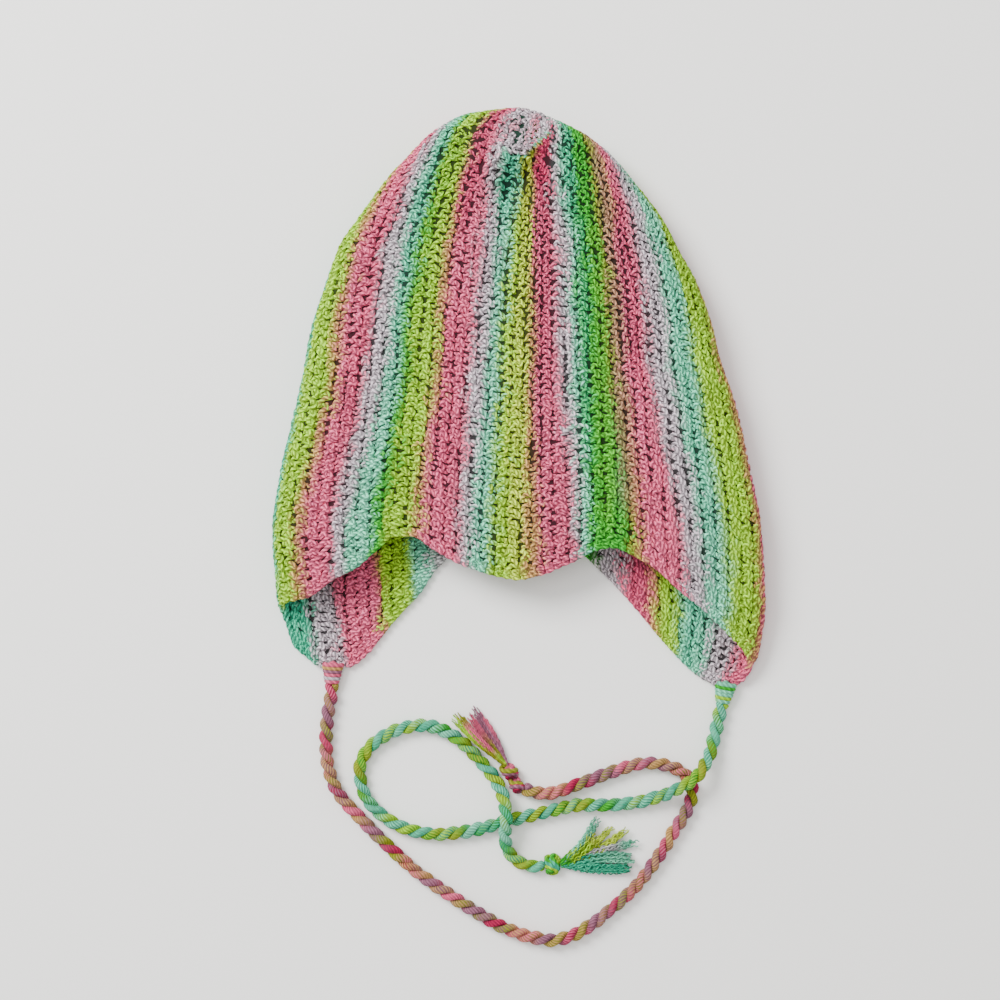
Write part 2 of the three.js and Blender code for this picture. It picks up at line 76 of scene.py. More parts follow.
# Stripes round the cap in ridges from the left fold over the forehead: each colour's start at
# the crown, on the body and at the brim, the colour, and how many ridges it takes to come in
STRIPES = (
    (-3.0, -3.0, -3.6, Dye.TEAL, 0.8), (1.7, 1.7, 0.6, Dye.LIME, 1.0),
    (4.5, 4.5, 2.5, Dye.TAN, 0.7), (5.2, 5.2, 3.4, Dye.PINK, 0.7),
    (7.5, 7.7, 5.8, Dye.LAVENDER, 0.7), (8.7, 9.1, 7.0, Dye.MINT, 0.6),
    (9.9, 10.4, 9.0, Dye.GREEN, 0.8), (10.6, 11.1, 10.2, Dye.LIME, 0.9),
    (13.0, 13.2, 12.3, Dye.TAN, 0.7), (13.4, 13.9, 12.9, Dye.PINK, 0.7),
    (15.9, 16.4, 16.2, Dye.LAVENDER, 0.7), (17.0, 17.7, 17.0, Dye.MINT, 0.6),
    (19.2, 18.9, 18.6, Dye.LIME, 0.9), (19.8, 19.8, 19.9, Dye.YELLOW, 0.8),
    (20.8, 21.6, 21.5, Dye.TAN, 0.5), (21.5, 22.1, 22.8, Dye.PINK, 0.5),
    (23.7, 24.4, 25.5, Dye.LAVENDER, 0.7), (24.5, 25.4, 26.0, Dye.MINT, 0.6),
    (25.1, 26.1, 26.7, Dye.GREEN, 0.6), (28.3, 28.5, 29.8, Dye.OLIVE, 0.8),
    (29.5, 29.3, 30.5, Dye.TAN, 0.6), (31.0, 30.3, 31.1, Dye.PINK, 0.8),
    (32.9, 32.9, 34.4, Dye.LAVENDER, 0.9), (34.7, 34.7, 36.0, Dye.MINT, 0.9),
    (36.7, 36.7, 38.0, Dye.LIME, 1.2), (39.7, 39.7, 40.5, Dye.TAN, 0.8),
    (41.0, 41.0, 41.4, Dye.PINK, 0.8), (44.9, 44.9, 44.6, Dye.LAVENDER, 0.8),
    (47.1, 47.1, 46.8, Dye.MINT, 0.7), (49.2, 49.2, 49.8, Dye.LIME, 0.9),
    (51.5, 51.5, 51.5, Dye.TAN, 0.6), (52.2, 52.2, 52.2, Dye.PINK, 0.7),
    (54.5, 54.5, 54.5, Dye.LAVENDER, 0.7), (56.5, 56.5, 56.5, Dye.GREEN, 0.7),
    (59.0, 59.0, 59.0, Dye.LIME, 0.9), (61.0, 61.0, 61.0, Dye.TAN, 0.6),
    (61.7, 61.7, 61.7, Dye.PINK, 0.7), (64.4, 64.4, 64.4, Dye.LAVENDER, 0.8),
    (67.6, 67.6, 67.6, Dye.GREY, 0.8), (71.0, 71.0, 70.1, Dye.MINT, 0.7),
    (73.0, 73.0, 71.8, Dye.LIME, 0.8), (75.4, 75.4, 74.2, Dye.TAN, 0.5),
    (76.1, 76.1, 74.7, Dye.PINK, 0.6), (78.8, 78.8, 78.2, Dye.LAVENDER, 0.8),
    (81.2, 81.2, 80.7, Dye.TEAL, 0.8), (84.6, 84.6, 83.8, Dye.LIME, 1.0),
    (88.3, 88.3, 86.4, Dye.TAN, 0.7),
)

# Deeper tones inside the stripes, and painted shade under the crown's lump: ridges from and to,
# shares of the way out from and to, the colour and its share
TONES_AND_PAINTED_SHADE = (
    # The teal at ridges 17.3 to 19.0 and the olive at 19.3 to 21.0 are painted shade under the crown's
    # lump
    (21.5, 23.6, 0.06, 0.27, Dye.CRIMSON, 0.85), (17.3, 19.0, 0.17, 0.31, Dye.TEAL, 0.8),
    (19.3, 21.0, 0.12, 0.30, Dye.OLIVE, 0.75), (13.6, 15.0, 0.08, 0.34, Dye.CRIMSON, 0.55),
    (24.9, 26.4, 0.05, 0.30, Dye.TEAL, 0.8), (22.4, 23.8, 0.27, 0.62, Dye.CRIMSON, 0.3),
    (14.0, 15.2, 0.5, 0.85, Dye.CRIMSON, 0.25), (6.2, 7.4, 0.3, 0.7, Dye.CRIMSON, 0.3),
    (30.9, 32.1, 0.2, 0.6, Dye.CRIMSON, 0.35), (35.4, 36.5, 0.3, 0.9, Dye.TEAL, 0.35),
    (9.4, 10.2, 0.1, 0.6, Dye.TEAL, 0.6), (11.2, 12.0, 0.15, 0.5, Dye.GREEN, 0.35),
    (26.3, 27.1, 0.3, 0.8, Dye.TEAL, 0.5), (27.6, 28.6, 0.3, 0.95, Dye.LIME, 0.2),
    (28.9, 30.4, 0.05, 0.9, Dye.MAUVE, 0.4), (16.6, 17.4, 0.2, 0.45, Dye.MAUVE, 0.3),
    (52.4, 54.2, 0.8, 1.1, Dye.CRIMSON, 0.4), (48.2, 49.4, 0.75, 1.1, Dye.TEAL, 0.5),
)

# Half widths of the laid cap: down (share of the length), left, right (shares of the width)
OUTLINE = np.array([
    (0.0, 0.004, 0.004), (0.006, 0.063, 0.03), (0.021, 0.125, 0.066), (0.036, 0.153, 0.096),
    (0.063, 0.188, 0.143), (0.106, 0.23, 0.192), (0.169, 0.282, 0.242), (0.234, 0.326, 0.29),
    (0.293, 0.363, 0.32), (0.383, 0.395, 0.365), (0.461, 0.419, 0.391), (0.53, 0.431, 0.407),
    (0.616, 0.448, 0.435), (0.664, 0.46, 0.446), (0.775, 0.484, 0.47), (0.891, 0.499, 0.491),
    (0.977, 0.495, 0.497), (1.043, 0.49, 0.5), (1.121, 0.482, 0.493), (1.173, 0.475, 0.479),
    (1.223, 0.465, 0.453),
])

# Height of the laid cap: down, height (share of the cap's height)
FULLNESS = np.array([
    (0.0, 0.91), (0.1, 0.95), (0.24, 1.0), (0.52, 1.0), (0.8, 0.91), (1.0, 0.77), (1.09, 0.59),
    (1.18, 0.43), (1.24, 0.41),
])

# Brim edge: round (share of the way round), down
BRIM = np.array([
    (0.0, 1.046), (0.042, 1.026), (0.072, 0.984), (0.09, 0.965), (0.116, 0.922), (0.13, 0.897),
    (0.147, 0.896), (0.17, 0.926), (0.2, 0.96), (0.249, 0.986), (0.297, 0.954), (0.324, 0.925),
    (0.339, 0.92), (0.367, 0.945), (0.38, 0.962), (0.404, 1.01), (0.432, 1.058), (0.463, 1.115),
    (0.49, 1.166), (0.506, 1.21), (0.53, 1.215), (0.542, 1.207), (0.559, 1.192), (0.578, 1.167),
    (0.605, 1.118), (0.642, 1.033), (0.669, 0.972), (0.69, 0.935), (0.75, 0.925), (0.81, 0.932),
    (0.831, 0.966), (0.85, 1.02), (0.877, 1.078), (0.907, 1.145), (0.928, 1.173), (0.956, 1.173),
    (0.97, 1.15), (0.981, 1.125), (0.988, 1.078),
])

# Lumps and hollows at the gather: side, down, reach (shares of the length), rise
DENTS = np.array([
    (-0.02, 0.112, 0.034, 0.25), (-0.018, 0.178, 0.024, -0.26), (0.042, 0.118, 0.016, -0.14),
    (0.0, 0.062, 0.022, -0.1), (0.09, 0.09, 0.04, 0.07),
])

# Bend of the ridges at the crown: ridge, degrees
BENDS = np.array([
    (0.0, 0.0), (8.6, 1.0), (10.4, 1.6), (13.3, 1.0), (15.7, 1.0), (19.2, 1.2), (21.5, -0.5),
    (23.8, -3.5), (25.5, -1.0), (28.8, 0.0), (33.0, -3.0), (38.0, -2.0), (44.0, 0.0), (84.0, 0.0),
])

# Where the stripes beside the crown's lump close over it: ridge, share of the way out
ARCH = np.array([
    (15.4, 0.0), (16.4, 0.1), (17.0, 0.125), (18.0, 0.143), (19.8, 0.145), (20.6, 0.13),
    (21.4, 0.112), (23.0, 0.105), (24.0, 0.06), (24.8, 0.0),
])

# Routes of the ties from the flaps' tips: x, y (shares of the cap's width), rise in diameters
LEFT_TIE = np.array([
    (-0.380, -0.005, 0.52), (-0.387, -0.046, 0.52), (-0.392, -0.103, 0.52),
    (-0.388, -0.160, 0.52), (-0.370, -0.210, 0.52), (-0.325, -0.263, 0.52),
    (-0.266, -0.322, 0.52), (-0.207, -0.375, 0.52), (-0.146, -0.418, 0.52),
    (-0.087, -0.456, 0.52), (-0.028, -0.489, 0.52), (0.033, -0.509, 0.52),
    (0.076, -0.513, 0.52), (0.124, -0.497, 0.52), (0.181, -0.456, 0.52), (0.238, -0.404, 0.52),
    (0.283, -0.345, 0.52), (0.318, -0.288, 0.52), (0.346, -0.241, 0.52), (0.352, -0.206, 0.52),
    (0.338, -0.176, 0.52), (0.303, -0.159, 0.52), (0.252, -0.154, 0.52), (0.200, -0.168, 0.52),
    (0.141, -0.189, 0.52), (0.092, -0.207, 0.52), (0.055, -0.216, 0.52), (0.029, -0.212, 0.52),
    (0.013, -0.206, 0.52),
])
RIGHT_TIE = np.array([
    (0.411, -0.042, 0.52), (0.405, -0.070, 0.52), (0.397, -0.102, 0.58), (0.386, -0.136, 0.9),
    (0.368, -0.167, 1.45), (0.346, -0.188, 1.64), (0.318, -0.205, 1.36), (0.282, -0.222, 0.78),
    (0.240, -0.233, 0.52), (0.181, -0.239, 0.52), (0.122, -0.239, 0.52), (0.063, -0.251, 0.52),
    (0.021, -0.261, 0.52), (-0.024, -0.271, 0.52), (-0.067, -0.284, 0.52),
    (-0.116, -0.294, 0.52), (-0.173, -0.298, 0.52), (-0.232, -0.286, 0.52),
    (-0.276, -0.261, 0.52), (-0.309, -0.227, 0.52), (-0.322, -0.188, 0.52),
    (-0.321, -0.151, 0.52), (-0.303, -0.121, 0.52), (-0.268, -0.095, 0.52),
    (-0.225, -0.080, 0.52), (-0.181, -0.078, 0.52), (-0.142, -0.093, 0.52),
    (-0.107, -0.119, 0.52), (-0.073, -0.156, 0.52), (-0.046, -0.190, 0.56),
    (-0.031, -0.225, 1.05), (-0.026, -0.263, 1.64), (-0.028, -0.304, 1.05),
    (-0.019, -0.336, 0.6), (0.004, -0.357, 0.52), (0.033, -0.363, 0.52), (0.049, -0.363, 0.52),
])

# Loose ends of the tassels: along, side, bend (shares of the tassel), width (share of the
# knot), rise in tie diameters
LEFT_LOCKS = np.array([
    (0.93, 0.05, -0.01, 0.44, 0.4), (0.81, 0.0, -0.03, 0.42, 0.4), (0.87, 0.15, 0.02, 0.4, 0.5),
    (0.97, 0.28, 0.06, 0.42, 0.9), (0.95, 0.38, 0.07, 0.38, 0.95),
])
RIGHT_LOCKS = np.array([
    (0.46, 0.43, 0.02, 0.84, 0.58), (0.49, 0.66, 0.02, 0.48, 0.62), (0.69, 0.53, 0.0, 0.4, 0.42),
    (0.94, 0.5, -0.01, 0.42, 0.38), (1.07, 0.28, 0.09, 0.48, 0.4), (1.0, 0.05, 0.07, 0.72, 0.46),
    (0.96, -0.09, -0.03, 0.6, 0.42),
])


# Number helpers

def follow(keys: np.ndarray, values: np.ndarray, at: np.ndarray, closed: bool = False) -> np.ndarray:
    """Reads smooth values from a table, through its rows and without overshoot.

    Each row's slope is the harmonic mean of the slopes beside it, or 0 at a turning point, and
    a cubic with those slopes joins each pair of rows.

    Args:
        keys: The rows' places, rising.
        values: The rows' values.
        at: Places to read.
        closed: Whether the table runs round and joins its own start, with a period of 1.

    Returns:
        The values at those places.
    """
    if closed:
        keys = np.concatenate([keys[-2:] - 1, keys, keys[:2] + 1])
        values = np.concatenate([values[-2:], values, values[:2]])
    slope = np.diff(values) / np.diff(keys)
    before, after = slope[:-1], slope[1:]
    agree = before * after > 0
    middle = np.where(agree, 2 * before * after / np.where(agree, before + after, 1), 0)
    tangent = np.concatenate([slope[:1], middle, slope[-1:]])
    i = np.clip(np.searchsorted(keys, at, side="right") - 1, 0, len(keys) - 2)
    width = keys[i + 1] - keys[i]
    t = np.clip((at - keys[i]) / width, 0, 1)
    start = values[i] * (1 + 2 * t) * (1 - t) ** 2 + tangent[i] * width * t * (1 - t) ** 2
    end = values[i + 1] * t * t * (3 - 2 * t) + tangent[i + 1] * width * t * t * (t - 1)
    return start + end


def ease(values: np.ndarray) -> np.ndarray:
    """0 below 0, 1 above 1, and three squares less two cubes between."""
    t = np.clip(values, 0, 1)
    return t * t * (3 - 2 * t)


def unit(vectors: np.ndarray) -> np.ndarray:
    """The vectors at length 1."""
    return vectors / np.maximum(np.linalg.norm(vectors, axis=-1, keepdims=True), 1e-12)


def lengths_along(points: np.ndarray) -> np.ndarray:
    """The distance from the first point to each point of a line."""
    steps = np.linalg.norm(np.diff(points, axis=0), axis=1)
    return np.concatenate([[0.0], np.cumsum(steps)])


def wander(rng: np.random.Generator, places: np.ndarray, reach: float) -> np.ndarray:
    """Smooth noise along a line: random values about 1 in size, eased from each to the next.

    Args:
        rng: The random numbers to draw from.
        places: The line's places.
        reach: The distance from one random value to the next.

    Returns:
        The noise at each place.
    """
    at = (places - places.min()) / reach
    knots = rng.normal(0, 1, int(at.max()) + 3)
    i = at.astype(int)
    t = ease(at - i)
    return knots[i] * (1 - t) + knots[i + 1] * t


def smooth_line(points: np.ndarray, spacing: float) -> np.ndarray:
    """Carries a centripetal Catmull-Rom curve through points and spaces it evenly.

    Each span is a blend of blends of its four neighbouring points, with knots a square root of
    their distances apart, and the line is then read at equal steps of its own length.

    Args:
        points: The points to pass through.
        spacing: The step between the points returned, in metres.

    Returns:
        Evenly spaced points.
    """
    ends = np.vstack([2 * points[0] - points[1], points, 2 * points[-1] - points[-2]])
    gaps = np.sqrt(np.linalg.norm(np.diff(ends, axis=0), axis=1))
    knots = np.concatenate([[0.0], np.cumsum(gaps)])
    spans = len(points) - 1
    span = np.repeat(np.arange(spans), SPAN_STEPS)
    share = np.tile(np.arange(SPAN_STEPS) / SPAN_STEPS, spans)
    k = [knots[span + n] for n in range(4)]
    p = [ends[span + n] for n in range(4)]
    t = k[1] + share * (k[2] - k[1])

    def mix(a: np.ndarray, b: np.ndarray, ka: np.ndarray, kb: np.ndarray) -> np.ndarray:
        """The point between a and b at t, whose knots are ka and kb."""
        w = ((t - ka) / (kb - ka))[:, None]
        return a * (1 - w) + b * w

    first = mix(p[0], p[1], k[0], k[1])
    second = mix(p[1], p[2], k[1], k[2])
    third = mix(p[2], p[3], k[2], k[3])
    line = mix(mix(first, second, k[0], k[2]), mix(second, third, k[1], k[3]), k[1], k[2])
    line = np.vstack([line, points[-1]])
    far = lengths_along(line)
    at = np.linspace(0, far[-1], max(3, int(round(far[-1] / spacing)) + 1))
    return np.stack([np.interp(at, far, line[:, n]) for n in range(3)], axis=1)


# Meshes

@dataclass
class Surface:
    """Points, faces of four and three corners with their UV, and two colours a point."""

    points: np.ndarray
    quads: np.ndarray
    quad_uv: np.ndarray
    tris: np.ndarray
    tri_uv: np.ndarray
    first: np.ndarray
    second: np.ndarray

    @staticmethod
    def joined(parts: list["Surface"]) -> "Surface":
        """Joins surfaces without merging their points.

        Args:
            parts: The surfaces.

        Returns:
            One surface that holds them all.
        """
        starts = np.cumsum([0] + [len(part.points) for part in parts[:-1]])
        return Surface(
            np.concatenate([part.points for part in parts]),
            np.concatenate([part.quads + start for part, start in zip(parts, starts)]),
            np.concatenate([part.quad_uv for part in parts]),
            np.concatenate([part.tris + start for part, start in zip(parts, starts)]),
            np.concatenate([part.tri_uv for part in parts]),
            np.concatenate([part.first for part in parts]),
            np.concatenate([part.second for part in parts]),
        )

    @property
    def triangles(self) -> int:
        """How many triangles the surface has."""
        return 2 * len(self.quads) + len(self.tris)

    def to_object(self, name: str, material: bpy.types.Material) -> bpy.types.Object:
        """Puts the surface into a new smooth-shaded object.

        Args:
            name: The piece's name.
            material: Its finish.

        Returns:
            The object, riding on the root body.
        """
        mesh = bpy.data.meshes.new(name)
        corners = np.concatenate([self.quads.ravel(), self.tris.ravel()]).astype(np.int32)
        totals = np.concatenate([np.full(len(self.quads), 4), np.full(len(self.tris), 3)])
        starts = np.concatenate([[0], np.cumsum(totals)[:-1]])
        mesh.vertices.add(len(self.points))
        mesh.vertices.foreach_set("co", self.points.astype(np.float32).ravel())
        mesh.loops.add(len(corners))
        mesh.loops.foreach_set("vertex_index", corners)
        mesh.polygons.add(len(totals))
        mesh.polygons.foreach_set("loop_start", starts.astype(np.int32))
        mesh.update(calc_edges=True)
        mesh.polygons.foreach_set("use_smooth", np.ones(len(totals), bool))
        uv = np.concatenate([self.quad_uv.reshape(-1, 2), self.tri_uv.reshape(-1, 2)])
        layer = mesh.uv_layers.new(name="yarn")
        layer.data.foreach_set("uv", uv.astype(np.float32).ravel())
        for label, values in (("first_ply", self.first), ("second_ply", self.second)):
            rgba = np.concatenate([values, np.ones((len(values), 1))], axis=1)
            attribute = mesh.color_attributes.new(label, "FLOAT_COLOR", "POINT")
            attribute.data.foreach_set("color", rgba.astype(np.float32).ravel())
        mesh.materials.append(material)
        mesh.update()
        piece = bpy.data.objects.new(name, mesh)
        bpy.context.scene.collection.objects.link(piece)
        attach(piece, "root")
        log.info("%s: %d triangles", name, self.triangles)
        return piece


def tube(
    line: np.ndarray,
    lean: np.ndarray,
    radius: np.ndarray,
    sides: int,
    first: np.ndarray,
    second: np.ndarray,
    profile: np.ndarray | None = None,
) -> Surface:
    """Carries a round profile along a line and closes both ends.

    A ring's points are the line's point plus radius times the cosine of the angle across the
    line and radius times its sine towards the lean, and each end closes on a point a little
    further along the line.

    Args:
        line: The line's points.
        lean: A direction beside the line at each point, never along it.
        radius: The radius at each point.
        sides: How many sides the profile has.
        first: The first ply's colour at each point of the line.
        second: The second ply's colour there.
        profile: A share of the radius for each ring and side, or None for a round profile.

    Returns:
        The tube's surface, with UV in metres along it and the share of the way round.
    """
    count = len(line)
    way = unit(np.gradient(line, axis=0))
    side = unit(np.cross(way, lean))
    up = np.cross(side, way)
    turn = 2 * np.pi * np.arange(sides) / sides
    reach = radius[:, None] * (np.ones((count, sides)) if profile is None else profile)
    rings = (
        line[:, None]
        + (reach * np.cos(turn))[..., None] * side[:, None]
        + (reach * np.sin(turn))[..., None] * up[:, None]
    )
    tips = np.stack([line[0] - way[0] * radius[0] * 0.5, line[-1] + way[-1] * radius[-1] * 0.5])
    points = np.concatenate([rings.reshape(-1, 3), tips])
    k, i = np.meshgrid(np.arange(count - 1), np.arange(sides), indexing="ij")
    a, b = k * sides + i, k * sides + (i + 1) % sides
    quads = np.stack([b, a, a + sides, b + sides], axis=-1).reshape(-1, 4)
    far = lengths_along(line)
    near_v, far_v = i / sides, (i + 1) / sides
    near_u, far_u = far[k], far[k + 1]
    corner = [(near_u, far_v), (near_u, near_v), (far_u, near_v), (far_u, far_v)]
    quad_uv = np.stack([np.stack(pair, axis=-1) for pair in corner], axis=-2).reshape(-1, 4, 2)
    j = np.arange(sides)
    last = (count - 1) * sides
    start_tip, end_tip = np.full(sides, count * sides), np.full(sides, count * sides + 1)
    tris = np.concatenate([
        np.stack([start_tip, j, (j + 1) % sides], axis=-1),
        np.stack([end_tip, last + (j + 1) % sides, last + j], axis=-1),
    ])
    low = np.stack([np.full(sides, far[0]), j / sides], axis=-1)
    high = np.stack([np.full(sides, far[-1]), j / sides], axis=-1)
    tri_uv = np.concatenate([np.stack([low, low, low], axis=1), np.stack([high, high, high], axis=1)])

    def spread(colour: np.ndarray) -> np.ndarray:
        """The line's colours at each ring's points and at both tips."""
        return np.concatenate([np.repeat(colour, sides, axis=0), colour[:1], colour[-1:]])

    return Surface(points, quads, quad_uv, tris, tri_uv, spread(first), spread(second))


# Finishes

@dataclass(frozen=True)
class YarnFinish:
    """Plied wool: two colours that wind round the yarn, painted shade in the grooves between the
    plies and painted highlight on their crests, fine fibres, and a soft sheen.
    """

    name: str
    ply_pitch: float = 0.0042
    plies: float = 2.0
    ply_depth: float = 0.5
    fibre_depth: float = 0.35
    fuzz: float = 0.35
    roughness: float = 0.88
    marl: float = 0.5
    bump_depth: float = 0.35 * MM

    def material(self) -> bpy.types.Material:
        """Builds the finish's nodes.

        Returns:
            The material.
        """
        material = bpy.data.materials.new(self.name)
        material.use_nodes = True
        nodes, links = material.node_tree.nodes, material.node_tree.links
        nodes.clear()
        output = nodes.new("ShaderNodeOutputMaterial")
        shader = nodes.new("ShaderNodeBsdfPrincipled")
        links.new(shader.outputs["BSDF"], output.inputs["Surface"])
        shader.inputs["Roughness"].default_value = self.roughness
        shader.inputs["Sheen Weight"].default_value = self.fuzz
        shader.inputs["Sheen Roughness"].default_value = 0.45
        shader.inputs["Specular IOR Level"].default_value = 0.22

        uv = nodes.new("ShaderNodeUVMap")
        uv.uv_map = "yarn"
        parts = nodes.new("ShaderNodeSeparateXYZ")
        links.new(uv.outputs["UV"], parts.inputs["Vector"])

        def calculate(operation: str, a: object, b: object) -> bpy.types.NodeSocket:
            """Adds a math node.

            Args:
                operation: What it does.
                a: Its first input, a socket or a number.
                b: Its second input.

            Returns:
                Its output.
            """
            node = nodes.new("ShaderNodeMath")
            node.operation = operation
            for socket, value in zip(node.inputs, (a, b)):
                if isinstance(value, (int, float)):
                    socket.default_value = value
                else:
                    links.new(value, socket)
            return node.outputs[0]

        def scaled(a: bpy.types.NodeSocket, factor: float, offset: float) -> bpy.types.NodeSocket:
            """A socket times a factor, plus an offset."""
            total = calculate("MULTIPLY_ADD", a, factor)
            total.node.inputs[2].default_value = offset
            return total

        along = calculate("MULTIPLY", parts.outputs["X"], 1 / self.ply_pitch)
        turns = calculate("ADD", along, parts.outputs["Y"])
        whole_turn = 2 * math.pi * self.plies
        wave = calculate("SINE", calculate("MULTIPLY", turns, whole_turn), 0.0)
        strand = calculate("SINE", calculate("MULTIPLY", turns, whole_turn * 3), 0.0)

        twisted = nodes.new("ShaderNodeCombineXYZ")
        links.new(calculate("MULTIPLY", parts.outputs["X"], 260.0), twisted.inputs["X"])
        links.new(calculate("MULTIPLY", turns, 9.0), twisted.inputs["Y"])
        fibres = nodes.new("ShaderNodeTexNoise")
        fibres.inputs["Scale"].default_value = 1.6
        fibres.inputs["Detail"].default_value = 3.0
        fibres.inputs["Roughness"].default_value = 0.65
        links.new(twisted.outputs["Vector"], fibres.inputs["Vector"])

        place = nodes.new("ShaderNodeTexCoord")
        mottle = nodes.new("ShaderNodeTexNoise")
        mottle.inputs["Scale"].default_value = 420.0
        mottle.inputs["Detail"].default_value = 3.0
        links.new(place.outputs["Object"], mottle.inputs["Vector"])

        share = scaled(wave, self.marl, 0.5)
        speck = scaled(mottle.outputs["Fac"], 1.4, -0.7)
        blend = calculate("ADD", share, speck)
        blend.node.use_clamp = True

        colours = []
        for label in ("first_ply", "second_ply"):
            node = nodes.new("ShaderNodeVertexColor")
            node.layer_name = label
            colours.append(node.outputs["Color"])
        mixed = nodes.new("ShaderNodeMix")
        mixed.data_type = "RGBA"
        links.new(blend, mixed.inputs["Factor"])
        links.new(colours[0], mixed.inputs[6])
        links.new(colours[1], mixed.inputs[7])

        # The colour darkened in the grooves between the plies and lightened on their crests: painted
        # shade and painted highlight; the fibre noise adds the fibres' own streaks
        ply_painted_shade_and_highlight = scaled(wave, 0.24, 0.92)
        grain = scaled(fibres.outputs["Fac"], 1.5, 0.25)
        shade = calculate("MULTIPLY", ply_painted_shade_and_highlight, grain)
        grey = nodes.new("ShaderNodeCombineColor")
        for socket in grey.inputs:
            links.new(shade, socket)
        dye_and_painted_shade = nodes.new("ShaderNodeMix")
        dye_and_painted_shade.data_type = "RGBA"
        dye_and_painted_shade.blend_type = "MULTIPLY"
        dye_and_painted_shade.inputs["Factor"].default_value = 1.0
        links.new(mixed.outputs[2], dye_and_painted_shade.inputs[6])
        links.new(grey.outputs["Color"], dye_and_painted_shade.inputs[7])
        links.new(dye_and_painted_shade.outputs[2], shader.inputs["Base Color"])
        links.new(dye_and_painted_shade.outputs[2], shader.inputs["Sheen Tint"])

        turned = calculate("MULTIPLY", wave, self.ply_depth)
        relief = calculate("ADD", turned, calculate("MULTIPLY", strand, 0.22))
        hairs = calculate("MULTIPLY", fibres.outputs["Fac"], self.fibre_depth * 3)
        bump = nodes.new("ShaderNodeBump")
        bump.inputs["Strength"].default_value = 1.0
        bump.inputs["Distance"].default_value = self.bump_depth
        links.new(calculate("ADD", relief, hairs), bump.inputs["Height"])
        links.new(bump.outputs["Normal"], shader.inputs["Normal"])
        return material


@dataclass(frozen=True)
class TableFinish:
    """The plain pale surface under the object."""

    name: str = "pale_table"
    colour: tuple[float, float, float] = (0.92, 0.912, 0.89)

    def material(self) -> bpy.types.Material:
        """Builds the finish.

        Returns:
            The material.
        """
        material = bpy.data.materials.new(self.name)
        material.use_nodes = True
        shader = material.node_tree.nodes["Principled BSDF"]
        shader.inputs["Base Color"].default_value = (*self.colour, 1.0)
        shader.inputs["Roughness"].default_value = 0.65
        return material


# The cap

